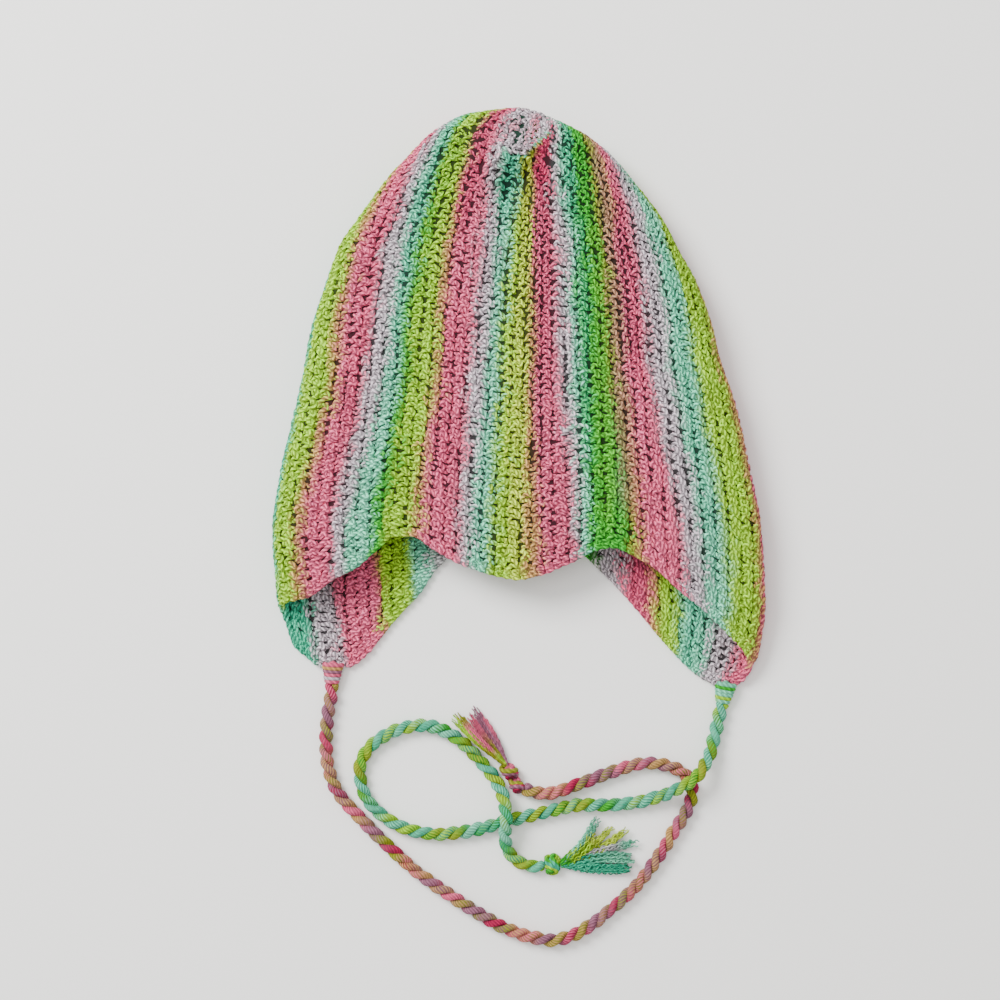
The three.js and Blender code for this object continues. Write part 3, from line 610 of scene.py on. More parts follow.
@dataclass(frozen=True)
class CapShape:
    """The laid cap's outside over a plane of the way round and the way out.

    A point of the plane is a share of the knit's length from the crown edge, at an angle that
    runs from the left fold over the forehead, the right fold and the nape.
    """

    flat_width: float = 200 * MM
    length: float = 192 * MM
    height: float = 22 * MM
    thickness: float = 3.6 * MM
    front_bulge: float = 3 * MM
    gather_shift: float = 20 * MM
    gather_depth: float = 0.7 * MM
    root_length: float = 6.6 * MM
    pole: tuple[float, float] = (-0.03, -0.06)
    ridges: int = 84

    @property
    def crown_y(self) -> float:
        """Where the crown edge lies."""
        return (self.length * 1.2205 + self.root_length * 1.1) / 2

    @property
    def end_radius(self) -> float:
        """The radius of the fold at the crown edge."""
        return self.height * FULLNESS[0, 1] / 2

    def along_knit(self, down: np.ndarray | float) -> np.ndarray | float:
        """The distance along the knit from the middle of the crown edge's fold."""
        return (np.pi / 2 - 1) * self.end_radius + down * self.length

    @staticmethod
    def round_fold(
        along: np.ndarray, radius: np.ndarray | float, arc: np.ndarray | float
    ) -> tuple[np.ndarray, np.ndarray]:
        """Follows a fold of the knit, a quarter turn and then straight.

        Args:
            along: Distances along the knit from the middle of the fold.
            radius: The fold's radius.
            arc: The length of its quarter turn.

        Returns:
            The distance into the fold, and the share of its height.
        """
        turn = (np.pi / 2) * np.minimum(along / arc, 1)
        past = along >= arc
        into = np.where(past, radius + along - arc, radius * (1 - np.cos(turn)))
        return into, np.where(past, 1.0, np.sin(turn))

    def outside(self, across: np.ndarray, up: np.ndarray) -> np.ndarray:
        """Works out the outside over the plane.

        The distance along the knit gives how far down a point lies, round the crown edge's
        fold and then straight. The angle gives how far in from the side fold it lies, round
        that fold and then straight. The height is half the laid cap's, up or down by the share
        of both folds, plus the front's bulge, dents and flutes.

        Args:
            across: The plane's first coordinate, left above 0.
            up: Its second coordinate, the front above 0.

        Returns:
            Points in metres.
        """
        whole = self.along_knit(1.0)
        ring = np.hypot(across, up)
        at = (np.arctan2(up, across) / (2 * np.pi)) % 1
        brim = self.along_knit(follow(BRIM[:, 0], BRIM[:, 1], at, True))
        along = ring * whole + (brim - whole) * ring**3
        into, share = self.round_fold(along, self.end_radius, np.pi / 2 * self.end_radius)
        down = into / self.length
        half = self.height * follow(FULLNESS[:, 0], FULLNESS[:, 1], down) / 2
        left, front = (at < 0.25) | (at >= 0.75), at < 0.5
        root, place = np.sqrt(OUTLINE[:, 0]), np.sqrt(np.maximum(down, 0))
        width = self.flat_width * np.where(
            left, follow(root, OUTLINE[:, 1], place), follow(root, OUTLINE[:, 2], place)
        )
        radius = np.minimum(half, width)
        arc = (np.pi / 2) * np.hypot(radius, half * share) * np.sqrt(0.5)
        quarter = 4 * np.minimum(at % 0.5, 0.5 - (at % 0.5))
        fold, fold_share = self.round_fold(quarter * (arc + width - radius), radius, arc)
        x = np.where(left, -1, 1) * (width - fold)
        lift = self.front_bulge * (1 - (x / width) ** 2) * np.minimum(1, into / (2 * self.height))
        for side, low, reach, rise in DENTS:
            away = (x / self.length - side) ** 2 + (down - low) ** 2
            lift = lift + rise * self.height * share * fold_share * np.exp(-away / (2 * reach**2))
        flute_up = up - self.gather_shift / whole
        flute = np.hypot(across, flute_up)
        near = np.exp(-((flute / 0.16) ** 2)) * np.minimum(1, flute / 0.04)
        lift = lift + self.gather_depth * near * np.cos(16 * np.arctan2(flute_up, across))
        z = half + np.where(front, 1, -1) * half * share * fold_share + np.where(front, lift, 0)
        return np.stack([x, self.crown_y - into, z], axis=-1)

    def lay(self, ridge: np.ndarray, out: np.ndarray) -> tuple[np.ndarray, np.ndarray]:
        """The plane's coordinates of a ridge's place, on lines that part from the crown's gather.

        A place is its share of the way out, at the ridge's angle, plus the gather's own place
        times a power of 1 less the square of that share. The angle is bent by the table of
        bends, less and less towards the brim.

        Args:
            ridge: Places counted in ridges.
            out: Their shares of the way out.

        Returns:
            The plane's two coordinates.
        """
        bend = follow(BENDS[:, 0], BENDS[:, 1], ridge % self.ridges)
        turn = 2 * np.pi * ridge / self.ridges + np.radians(bend) * np.maximum(1 - out, 0) ** 0.6
        pull = np.maximum(1 - out * out, 0) ** 1.5
        return out * np.cos(turn) + self.pole[0] * pull, out * np.sin(turn) + self.pole[1] * pull

    def outward(self, across: np.ndarray, up: np.ndarray) -> np.ndarray:
        """Works out the outward direction, the cross product of steps along the plane's axes.

        Args:
            across: The plane's first coordinate.
            up: Its second coordinate.

        Returns:
            Directions of length 1.
        """
        step = 0.003
        left = self.outside(across + step, up) - self.outside(across - step, up)
        front = self.outside(across, up + step) - self.outside(across, up - step)
        return unit(np.cross(left, front))

    def within(
        self, ridge: np.ndarray, out: np.ndarray, depth: np.ndarray | float
    ) -> tuple[np.ndarray, np.ndarray]:
        """Finds points in the knit, a depth below its outside.

        Args:
            ridge: Places counted in ridges.
            out: Their shares of the way out.
            depth: How deep they lie, in metres.

        Returns:
            The points, and the outward directions there.
        """
        across, up = self.lay(ridge, out)
        normal = self.outward(across, up)
        return self.outside(across, up) - normal * np.asarray(depth)[..., None], normal


@dataclass
class StripedYarn:
    """Colours of the yarn over the cap, by ridge, with a slow wander and a fleck along it."""

    seed: int = 11
    first_ply_marl_and_painted_shade: float = 0.55
    second_ply_marl_and_painted_highlight: float = 1.26
    second_ply_painted_highlight_tint: float = 0.012

    def at(self, ridge: np.ndarray, out: np.ndarray) -> np.ndarray:
        """Works out the stripes' colour, eased from each stripe to the next.

        Each stripe's start eases from its place at the crown to those on the body and at the
        brim, and the deeper tones and the painted shade under the crown's lump are laid over them.

        Args:
            ridge: Places counted in ridges.
            out: Their shares of the way out to the brim.

        Returns:
            Colours as shares of light.
        """
        table = np.array([(crown, body, brim, soft) for crown, body, brim, _, soft in STRIPES])
        dyes = np.array([dye.light for _, _, _, dye, _ in STRIPES])
        high = ease((0.36 - out) / 0.14)
        low = ease((out - 0.55) / 0.45)
        colour = np.broadcast_to(dyes[0], ridge.shape + (3,)).copy()
        for (crown, body, brim, soft), dye in zip(table[1:], dyes[1:]):
            start = crown * high + body * (1 - high - low) + brim * low
            t = ease((ridge - start) / soft + 0.5)[..., None]
            colour = colour * (1 - t) + dye * t
        # Deeper tones, and painted shade under the crown's lump, laid over the stripes
        for begin, end, near, far, dye, share in TONES_AND_PAINTED_SHADE:
            across = ease((ridge - begin) / 0.6 + 0.5) * ease((end - ridge) / 0.6 + 0.5)
            down = ease((out - near) / 0.06 + 0.5) * ease((far - out) / 0.1 + 0.5)
            t = (across * down * share)[..., None]
            colour = colour * (1 - t) + dye.light * t
        return colour

    def plies(
        self, ridge: np.ndarray, out: np.ndarray, along: np.ndarray, seed: int
    ) -> tuple[np.ndarray, np.ndarray]:
        """Works out the two plies' colours along one yarn: the first darkened and the second
        lightened, a marl's darker and lighter plies and also painted shade and painted highlight,
        since the finish lays the first in the twist's grooves and the second on its crests.

        Args:
            ridge: The place of each point, counted in ridges.
            out: Its share of the way out.
            along: Its distance along the yarn in metres.
            seed: A number for the yarn, which keeps its wander the same in each run.

        Returns:
            The first and the second ply's colours.
        """
        rng = np.random.default_rng(self.seed * 1000 + seed)
        drift = rng.normal(0, 0.1) + 0.16 * wander(rng, along, 0.045)
        first = self.at(ridge + drift + 0.12, out)
        second = self.at(ridge + drift - 0.18 + 0.3 * wander(rng, along, 0.02), out)
        worn = 1 + 0.08 * wander(rng, along, 0.006)[:, None] + 0.08 * wander(rng, along, 0.03)[:, None]
        # The first ply darkened and the second lightened: the marl, and also painted shade in the
        # twist's grooves and painted highlight on its crests
        darker = np.clip(first * worn * self.first_ply_marl_and_painted_shade, 0, 1)
        lighter = np.clip(second * worn * self.second_ply_marl_and_painted_highlight + self.second_ply_painted_highlight_tint, 0, 1)
        return darker, lighter


@dataclass
class GarterKnit:
    """The cap's garter stitch, one yarn for each ridge, from the gather to the brim and back.

    Towards the gather rows end in turn, so that the others keep their room: each level of ridges
    ends where its rows lie closer than its entry in ends.
    """

    shape: CapShape = field(default_factory=CapShape)
    dyes: StripedYarn = field(default_factory=StripedYarn)
    stitch: float = 4.0 * MM
    yarn: float = 0.86 * MM
    loop: float = 2.0
    bulge: float = 0.66 * MM
    slant: float = 0.36
    depth: float = 0.9 * MM
    points_a_stitch: int = 8
    sides: int = 6
    along_jitter: float = 0.42 * MM
    sway_jitter: float = 0.34 * MM
    loop_jitter: float = 0.16
    slant_jitter: float = 0.8
    depth_jitter: float = 0.18
    ends: tuple[float, ...] = (1.05 * MM, 0.52 * MM, 0.26 * MM, 0.13 * MM)
    arch_ridge: float = 16.4
    places: int = 500
    short: float = 2.0 * MM

    def spread(self, pitch: np.ndarray) -> np.ndarray:
        """Tells how far rows part where the rows between them have ended, twice for each level.

        Args:
            pitch: The distance between all rows, ended or not, at each place.

        Returns:
            Factors of the pitch.
        """
        wide = np.ones_like(pitch)
        for end in self.ends[:3]:
            wide = wide * (2 - ease((pitch - end * 0.9) / (end * 0.35)))
        return wide

    def ridge_yarn(self, index: int) -> Surface:
        """Knits one ridge: out to the brim in one row and back in the next.

        Along a row a point advances by a stitch each turn of the phase, plus a bulge times the
        sine of twice the phase. Across it swings by half a loop times the cosine of the phase,
        and through the knit by its depth times that cosine, one way in the first row and the
        other way in the second, so that the heads of one row and the feet of the next stand
        proud together as the ridge.

        Args:
            index: Which ridge, counted from the left fold.

        Returns:
            The yarn's surface.
        """
        rng = np.random.default_rng(500 + index)
        level = 0
        while level < 3 and index % (2 ** (level + 1)) == 0:
            level += 1
        outs = np.linspace(0.004, 1.0, self.places)
        middle, _ = self.shape.within(
            np.full(self.places, index + 0.5), outs, self.shape.thickness / 2
        )
        far = lengths_along(middle)
        pitch = self.row_pitch(index, outs)
        tight = np.flatnonzero(pitch < self.ends[level])
        begin = far[tight[-1]] if len(tight) else far[0]
        finish = far[-1] - self.short
        last_turn = np.round(finish / self.stitch - 0.25) + 0.25
        stitch = finish / last_turn
        first_turn = np.round(begin / stitch - 0.25) + 0.25
        count = int(round((last_turn - first_turn) * self.points_a_stitch)) + 1
        turns = np.linspace(first_turn, last_turn, count)
        rows = [self.row(index, row, turns, stitch, far, outs, pitch, rng) for row in (0, 1)]
        bend = np.pi * np.array([0.22, 0.5, 0.78])
        edge = 1.0 + 0.35 * MM * np.sin(bend) / far[-1]
        loop = (
            index + 0.5 - 0.25 * np.cos(bend),
            edge - 1.6 * MM * (1 - np.sin(bend)) / far[-1],
            np.zeros(3),
        )
        place = [np.concatenate([rows[0][n], loop[n], rows[1][n][::-1]]) for n in range(3)]
        half = self.shape.thickness / 2
        points, normals = self.shape.within(place[0], place[1], half - place[2])
        along = lengths_along(points)
        local = np.interp(place[1], outs, pitch * self.spread(pitch))
        radius = self.yarn * np.clip(local / (2.3 * MM), 0.72, 1.06)
        radius = radius * (1 + 0.07 * wander(rng, along, 0.004))
        first, second = self.dyes.plies(self.colour_place(place[0], place[1]), place[1], along, index)
        return tube(points, normals, radius, self.sides, first, second)

    def colour_place(self, ridge: np.ndarray, out: np.ndarray) -> np.ndarray:
        """Finds where in the stripes a place takes its colour.

        The stripe beside the crown's lump closes over it, above the table of the arch.

        Args:
            ridge: Places counted in ridges.
            out: Their shares of the way out.

        Returns:
            The ridges whose colour they take.
        """
        across, up = self.shape.lay(ridge, out)
        high = ease((follow(ARCH[:, 0], ARCH[:, 1], ridge) - np.hypot(across, up)) / 0.012)
        inside = (ridge > ARCH[0, 0]) & (ridge < ARCH[-1, 0])
        return np.where(inside, ridge + (self.arch_ridge - ridge) * high, ridge)

    def row_pitch(self, index: int, outs: np.ndarray) -> np.ndarray:
        """Measures the distance between neighbouring rows along a ridge.

        Args:
            index: Which ridge.
            outs: Shares of the way out.

        Returns:
            Distances in metres.
        """
        low, _ = self.shape.within(np.full(len(outs), index + 0.25), outs, 0.0)
        high, _ = self.shape.within(np.full(len(outs), index + 0.75), outs, 0.0)
        return np.linalg.norm(high - low, axis=1)

    def row(
        self,
        index: int,
        row: int,
        turns: np.ndarray,
        stitch: float,
        far: np.ndarray,
        outs: np.ndarray,
        pitches: np.ndarray,
        rng: np.random.Generator,
    ) -> tuple[np.ndarray, np.ndarray, np.ndarray]:
        """Works out one row's places, as ridge numbers, shares of the way out, and rises.

        Args:
            index: Which ridge.
            row: 0 for the row out, 1 for the row back.
            turns: The phase of each point in whole stitches.
            stitch: The stitch's length in metres.
            far: The distance along the ridge at each of outs.
            outs: Shares of the way out.
            pitches: The distance between neighbouring rows at each of outs.
            rng: The ridge's own random numbers.

        Returns:
            The ridge numbers, the shares of the way out, and the rises above the knit's middle.
        """
        phase = 2 * np.pi * turns
        uneven = self.along_jitter * wander(rng, turns, 1.3)
        along = turns * stitch + self.bulge * np.sin(2 * phase) + uneven
        out = np.interp(along, far, outs)
        single = np.interp(out, outs, pitches)
        wide = self.spread(single)
        pitch = single * wide
        rate = single / 0.5
        reach = 0.5 * self.loop * pitch * (1 + self.loop_jitter * wander(rng, turns, 1.1))
        sway = self.sway_jitter * wander(rng, turns, 2.3)
        side = -1 if row == 0 else 1
        cosine = np.cos(phase)
        full = cosine * (1.5 - 0.5 * cosine**2)
        lean = self.slant * (1 + self.slant_jitter * wander(rng, turns, 3.1)) * np.sin(phase)
        ridge = index + 0.5 + 0.25 * side * wide + (sway - reach * (full + lean)) / rate
        rise = side * self.depth * full * (1 + self.depth_jitter * wander(rng, turns, 1.7))
        return ridge, out, rise

    def build(self) -> None:
        """Knits the cap in six sectors."""
        finish = YarnFinish("knit_wool").material()
        names = ("front_left", "front_middle", "front_right", "back_right", "back_middle", "back_left")
        each = self.shape.ridges // len(names)
        for sector, name in enumerate(names):
            parts = [self.ridge_yarn(index) for index in range(each * sector, each * sector + each)]
            piece = Surface.joined(parts).to_object(f"knit_{name}", finish)
            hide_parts("knitted_cap")


@dataclass
class BrimEdge:
    """The firm edge along the brim, four chained yarns that lie along it face and back."""

    shape: CapShape = field(default_factory=CapShape)
    dyes: StripedYarn = field(default_factory=StripedYarn)
    stitch: float = 3.5 * MM
    yarn: float = 0.78 * MM
    width: float = 1.9 * MM
    depth: float = 0.72 * MM
    bulge: float = 0.5 * MM
    along_jitter: float = 0.2 * MM
    swing_jitter: float = 0.15 * MM
    depth_jitter: float = 0.15
    points_a_stitch: int = 8
    sides: int = 6
    setbacks: tuple[float, ...] = (0.3 * MM, 1.7 * MM)
    places: int = 2001

    def chain(self, face: int, setback: float) -> Surface:
        """Runs one yarn round the brim in arcs that lie along its edge.

        A point advances by a stitch each turn of the phase, plus a bulge times the sine of
        twice the phase. It swings in from the edge and back by the cosine of the phase, and
        through the knit by its depth times that cosine.

        Args:
            face: 1 for arcs that lie on the outside, -1 for the inside.
            setback: How far in from the brim the row's middle runs.

        Returns:
            The closed yarn's surface.
        """
        rng = np.random.default_rng(900 + face + int(setback * 1e5))
        ridge = np.linspace(0, self.shape.ridges, self.places)
        line, _ = self.shape.within(ridge, np.ones(self.places), self.shape.thickness / 2)
        far = lengths_along(line)
        stitches = int(round(far[-1] / self.stitch))
        stitch = far[-1] / stitches
        turns = np.arange(stitches * self.points_a_stitch) / self.points_a_stitch
        phase = 2 * np.pi * turns
        uneven = self.along_jitter * wander(rng, turns, 1.3)
        along = turns * stitch + self.bulge * np.sin(2 * phase) + uneven
        at = np.interp(along % far[-1], far, ridge)
        cosine = np.cos(phase)
        full = cosine * (1.5 - 0.5 * cosine**2)
        whole = self.shape.along_knit(1.0)
        aside = self.swing_jitter * wander(rng, turns, 1.7)
        swing = -setback - 0.5 * self.width * face * full + aside
        rise = self.depth * full * (1 + self.depth_jitter * wander(rng, turns, 1.7))
        out = 1 + swing / whole
        points, normals = self.shape.within(at, out, self.shape.thickness / 2 - rise)
        metres = lengths_along(points)
        radius = self.yarn * (1 + 0.06 * wander(rng, metres, 0.004))
        first, second = self.dyes.plies(at, out, metres, 300 + face)
        return tube(points, normals, radius, self.sides, first, second)

    def build(self) -> None:
        """Makes the edge's rows, face and back."""
        parts = [self.chain(face, setback) for setback in self.setbacks for face in (1, -1)]
        finish = YarnFinish("knit_edge_wool").material()
        piece = Surface.joined(parts).to_object("knit_edge", finish)
        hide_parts("knitted_cap")


@dataclass
class KnitGroundPaintedShade:
    """The yarn deep between the loops, a thin closed layer in the middle of the knit, in its
    stripes' colours darkened to a twentieth as painted shade in the gaps.
    """

    shape: CapShape = field(default_factory=CapShape)
    dyes: StripedYarn = field(default_factory=StripedYarn)
    steps_round: int = 168
    steps_out: int = 36
    half: float = 0.35 * MM
    # A factor on the stripes' colours: painted shade deep between the loops
    shade: float = 0.05

    def build(self) -> None:
        """Lays two skins a little apart, and joins them at the brim and the gather."""
        outs = np.linspace(0.02, 1, self.steps_out) ** 1.2
        outs[-1] = 0.992
        ridge = np.arange(self.steps_round) * self.shape.ridges / self.steps_round
        places, levels = np.meshgrid(ridge, outs)
        middle = self.shape.thickness / 2
        over, _ = self.shape.within(places, levels, middle - self.half)
        under, _ = self.shape.within(places, levels, middle + self.half)
        tips = [
            self.shape.within(np.zeros(1), np.full(1, 0.002), middle + side * self.half)[0]
            for side in (-1, 1)
        ]
        grid = np.concatenate([over, under[::-1]]).reshape(-1, 3)
        points = np.concatenate([grid, tips[0], tips[1]])
        rows = 2 * self.steps_out
        k, i = np.meshgrid(np.arange(rows - 1), np.arange(self.steps_round), indexing="ij")
        a = k * self.steps_round + i
        b = k * self.steps_round + (i + 1) % self.steps_round
        quads = np.stack([b, a, a + self.steps_round, b + self.steps_round], axis=-1).reshape(-1, 4)
        quad_uv = np.zeros((len(quads), 4, 2))
        j = np.arange(self.steps_round)
        next_j = (j + 1) % self.steps_round
        last = (rows - 1) * self.steps_round
        start, end = np.full(len(j), len(points) - 2), np.full(len(j), len(points) - 1)
        tris = np.concatenate([
            np.stack([start, j, next_j], axis=-1),
            np.stack([end, last + next_j, last + j], axis=-1),
        ])
        colours = self.dyes.at(places, levels)
        colours = np.concatenate([colours, colours[::-1]]).reshape(-1, 3)
        # The stripes' colours darkened: painted shade deep between the loops
        colours = np.concatenate([colours, colours[:1], colours[-1:]]) * self.shade
        tri_uv = np.zeros((len(tris), 3, 2))
        surface = Surface(points, quads, quad_uv, tris, tri_uv, colours, colours)
        finish = YarnFinish("painted_shade_ground_wool", ply_depth=0.0).material()
        piece = surface.to_object("knit_ground_painted_shade", finish)
        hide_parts("knitted_cap")


# The ties

@dataclass(frozen=True)
class TieColours:
    """The colours of a tie's two plies in turn along it, and of its root, knot and ends."""

    first: tuple[Dye, ...]
    second: tuple[Dye, ...]
    flecks: tuple[tuple[Dye, ...], tuple[Dye, ...]]
    root: tuple[Dye, ...]
    knot: tuple[Dye, ...]
    ends: tuple[tuple[Dye, ...], ...]

    @staticmethod
    def run(dyes: tuple[Dye, ...], count: int, seed: int, spots: float = 0.08) -> np.ndarray:
        """Colours one strand: the dyes in turn, eased into each other, with a fleck.

        Args:
            dyes: The dyes.
            count: How many points the strand has.
            seed: A number for the fleck.
            spots: How strong the fleck is.

        Returns:
            A colour for each point.
        """
        rng = np.random.default_rng(seed)
        shades = np.array([dye.light for dye in dyes])
        at = np.linspace(0, max(len(dyes) - 1, 0), count)
        i = np.minimum(at.astype(int), max(len(dyes) - 2, 0))
        t = ease(((at - i) - 0.3) / 0.4)[:, None]
        colours = shades[i] * (1 - t) + shades[np.minimum(i + 1, len(dyes) - 1)] * t
        return np.clip(colours * (1 + spots * wander(rng, np.arange(count) * 1.0, 3.0)[:, None]), 0, 1)


@dataclass
class Tie:
    """A twisted two-ply tie with its wrapped root, its knot and its tassel."""

    side: str
    route: np.ndarray
    root_x: float
    root_lean: float
    locks: np.ndarray
    heading: float
    colours: TieColours
    shape: CapShape = field(default_factory=CapShape)
    diameter: float = 5.6 * MM
    root_width: float = 9.6 * MM
    root_length: float = 6.6 * MM
    tassel_length: float = 29 * MM
    knot_width: float = 7.2 * MM
    ply_pitch: float = 10.5 * MM
    gap: float = 0.3 * MM
    crinkle: float = 0.25 * MM
    line_step: float = 0.85 * MM
    ply_reach: float = 0.235
    ply_radius: float = 0.268
    ply_sides: int = 14
    ply_shade: float = 0.72
    fleck_shade: float = 0.86
    strand_pitch: float = 5.5 * MM
    table_gap: float = 0.03 * MM
    wrap_yarn: float = 0.95 * MM
    wrap_sides: int = 7
    wrap_turns: float = 5.5
    wrap_flatness: float = 0.62
    wrap_shade: float = 0.8
    ball_turns: float = 4.2
    ball_shade: float = 0.75
    paler: float = 1.12
    core_sides: int = 12
    # The cores' darker colour is painted shade in the gaps between the turns of yarn
    core_shade: float = 0.6
    end_yarn: float = 0.38 * MM
    end_sides: int = 5
    end_step: float = 0.6 * MM

    @property
    def seed(self) -> int:
        """A number for the tie's own wander."""
        return 40 if self.side == "left" else 80

    def tip(self) -> float:
        """Finds the lowest place of the flap's edge above the tie.

        Returns:
            Its y coordinate in metres.
        """
        rounds = (0.932, 0.94, 0.948, 0.954) if self.side == "left" else (0.508, 0.516, 0.524, 0.532)
        turn = 2 * np.pi * np.array(rounds)
        edge = self.shape.outside(np.cos(turn), np.sin(turn))
        return float(edge[:, 1].min()) - self.shape.thickness * 0.24

    def root_line(self) -> tuple[np.ndarray, np.ndarray]:
        """Sets the root's axis.

        Returns:
            Its start at the flap's tip and its end at the cord.
        """
        top = self.tip() - self.gap
        start = np.array([self.root_x, top, self.diameter * 0.56])
        end = np.array([self.root_x + self.root_lean, top - self.root_length, self.diameter * 0.52])
        return start, end

    def exit(self) -> np.ndarray:
        """Where the cord leaves its root."""
        start, end = self.root_line()
        return end + unit(end - start) * 1.6 * self.gap

    def centre_line(self) -> np.ndarray:
        """Lays the cord's own line from its root to its knot.

        Returns:
            Closely spaced points.
        """
        tie_line = self.shape.crown_y - self.shape.length * 1.223
        points = np.stack([
            self.route[:, 0] * self.shape.flat_width,
            tie_line + self.route[:, 1] * self.shape.flat_width,
            self.route[:, 2] * self.diameter,
        ], axis=1)
        return smooth_line(np.vstack([self.exit(), points]), self.line_step)

    def cord(self, finish: bpy.types.Material) -> bpy.types.Object:
        """Twists two plies round the cord's line.

        Each ply's middle stands a quarter of the diameter from the line, at an angle that turns
        once each pitch, and its profile has four strands that turn the other way.

        Args:
            finish: The cord's material.

        Returns:
            The cord's object.
        """
        line = self.centre_line()
        far = lengths_along(line)
        way = unit(np.gradient(line, axis=0))
        side = unit(np.cross(way, np.array([0.0, 0.0, 1.0])))
        up = np.cross(side, way)
        rng = np.random.default_rng(self.seed)
        turn = 2 * np.pi * far / self.ply_pitch + 0.25 * wander(rng, far, 0.02)
        plies = []
        for ply, dyes in enumerate((self.colours.first, self.colours.second)):
            angle = turn + np.pi * ply
            reach = self.diameter * self.ply_reach * (1 + 0.05 * wander(rng, far, 0.012))
            away = (reach * np.cos(angle))[:, None] * side
            above = (reach * np.sin(angle))[:, None] * up
            inner = line + away + above
            radius = self.diameter * self.ply_radius * (1 + 0.05 * wander(rng, far, 0.009))
            around = 2 * np.pi * np.arange(self.ply_sides) / self.ply_sides
            twist = (far / self.strand_pitch * 2 * np.pi)[:, None]
            strands = 1 + 0.09 * np.cos(4 * around[None] + twist)
            shade = TieColours.run(dyes, len(line), self.seed + ply) * self.ply_shade
            fleck = TieColours.run(self.colours.flecks[ply], len(line), self.seed + 9 + ply)
            fleck = fleck * self.fleck_shade
            lean = unit(inner - line)
            plies.append(tube(inner, lean, radius, self.ply_sides, shade, fleck, strands))
        surface = Surface.joined(plies)
        surface.points[:, 2] = np.maximum(surface.points[:, 2], self.table_gap)
        piece = surface.to_object(f"{self.side}_cord", finish)
        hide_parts(f"{self.side}_tie_cord")
        log.info("%s: %.0f mm long", piece.name, far[-1] / MM)
        return piece

    def coil(
        self,
        axis_line: tuple[np.ndarray, np.ndarray],
        radii: tuple[float, float],
        dyes: tuple[Dye, ...],
        seed: int,
    ) -> Surface:
        """Winds a yarn round an axis, with a filled core.

        A point's angle round the axis grows evenly along it, at a radius that eases from one
        end's to the other's, swollen in the middle by the square root of a circle's share.

        Args:
            axis_line: The axis's two ends.
            radii: The outer radius at each end.
            dyes: The yarn's colours in turn.
            seed: A number for its wander.

        Returns:
            The winding's and the core's surface.
        """
        rng = np.random.default_rng(seed)
        turns, yarn, flatness = self.wrap_turns, self.wrap_yarn, self.wrap_flatness
        start, end = axis_line
        count = int(turns * 22)
        t = np.linspace(0, 1, count)
        axis = unit(end - start)
        side = unit(np.cross(axis, np.array([0.0, 0.0, 1.0])))
        up = np.cross(side, axis)
        swell = radii[0] + (radii[1] - radii[0]) * t
        reach = (swell - yarn) * (1 + 0.03 * wander(rng, t * turns, 0.7))
        angle = 2 * np.pi * turns * t + 0.4
        middle = start + (end - start) * (0.04 + 0.92 * t)[:, None]
        middle = middle + axis * (0.3 * MM * np.sin(angle + 1))[:, None]
        arm = (np.cos(angle))[:, None] * side + (flatness * np.sin(angle))[:, None] * up
        line = middle + reach[:, None] * arm
        shade = TieColours.run(dyes, count, seed) * self.wrap_shade
        paler = np.clip(shade * self.paler, 0, 1)
        wound = tube(line, unit(arm), np.full(count, yarn), self.wrap_sides, shade, paler)
        rings = self.core_sides
        k = np.linspace(0, 1, rings)
        core_line = start + (end - start) * k[:, None]
        full = 0.5 + 0.5 * np.sin(np.pi * np.clip(k * 1.2 - 0.1, 0, 1)) ** 0.5
        core_radius = (radii[0] + (radii[1] - radii[0]) * k - yarn) * full
        around = 2 * np.pi * np.arange(rings) / rings
        oval = np.hypot(np.cos(around), flatness * np.sin(around))[None].repeat(rings, axis=0)
        # The core darker than the winding: painted shade in the gaps between the turns
        core_shade = TieColours.run(dyes, rings, seed + 1) * self.core_shade
        upward = np.tile(up, (rings, 1))
        core = tube(core_line, upward, core_radius, rings, core_shade, core_shade, oval)
        return Surface.joined([wound, core])

    def root(self, finish: bpy.types.Material) -> bpy.types.Object:
        """Wraps the root of the tie below the flap's tip.

        Args:
            finish: Its material.

        Returns:
            The root's object.
        """
        start, end = self.root_line()
        way = unit(end - start)
        lifted = start - way * 1.6 * MM
        wide, narrow = self.root_width / 2, self.root_width / 2 * 0.66
        surface = self.coil((lifted, end), (wide, narrow), self.colours.root, self.seed + 3)
        piece = surface.to_object(f"{self.side}_root", finish)
        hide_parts(f"{self.side}_tie_root")
        return piece

    def beyond(self, forward: float) -> tuple[np.ndarray, np.ndarray]:
        """Finds a flat place past the cord's end.

        Args:
            forward: How far past it.

        Returns:
            The place on the table, and the cord's direction there.
        """
        line = self.centre_line()
        way = line[-1] - line[-4]
        way[2] = 0
        way = unit(way)
        place = line[-1] + way * forward
        return np.array([place[0], place[1], 0.0]), way

    def balls(self) -> list[tuple[np.ndarray, float, float, float]]:
        """Places the knot's two balls.

        Returns:
            Where each lies on the table, its width, its length and its turn.
        """
        if self.side == "left":
            low, _ = self.beyond(self.gap + self.knot_width * 0.47)
            high = low + np.array([-0.41, 0.78, 0.0]) * self.knot_width
            return [(low, 0.86, 1.0, 0.4), (high, 1.0, 0.95, 0.4)]
        low, _ = self.beyond(self.gap + self.knot_width * 0.42)
        high = low + np.array([0.18, 0.12, 0.0]) * self.knot_width
        return [(low, 0.84, 1.25, 0.1), (high, 0.8, 1.05, -0.3)]

    def knot(self, finish: bpy.types.Material) -> bpy.types.Object:
        """Winds the knot's balls from yarn.

        Args:
            finish: Its material.

        Returns:
            The knot's object.
        """
        parts = []
        for number, (place, width, length, turn) in enumerate(self.balls()):
            radius = width * self.knot_width / 2
            middle = place + np.array([0, 0, radius * 0.94 + 0.05 * MM])
            axis = np.array([-math.sin(turn), math.cos(turn), 0.0])
            half = length * self.knot_width * 0.36
            ends = (middle - axis * half, middle + axis * half)
            parts.append(self.ball(ends, radius, number))
        piece = Surface.joined(parts).to_object(f"{self.side}_knot", finish)
        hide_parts(f"{self.side}_tie_knot")
        return piece

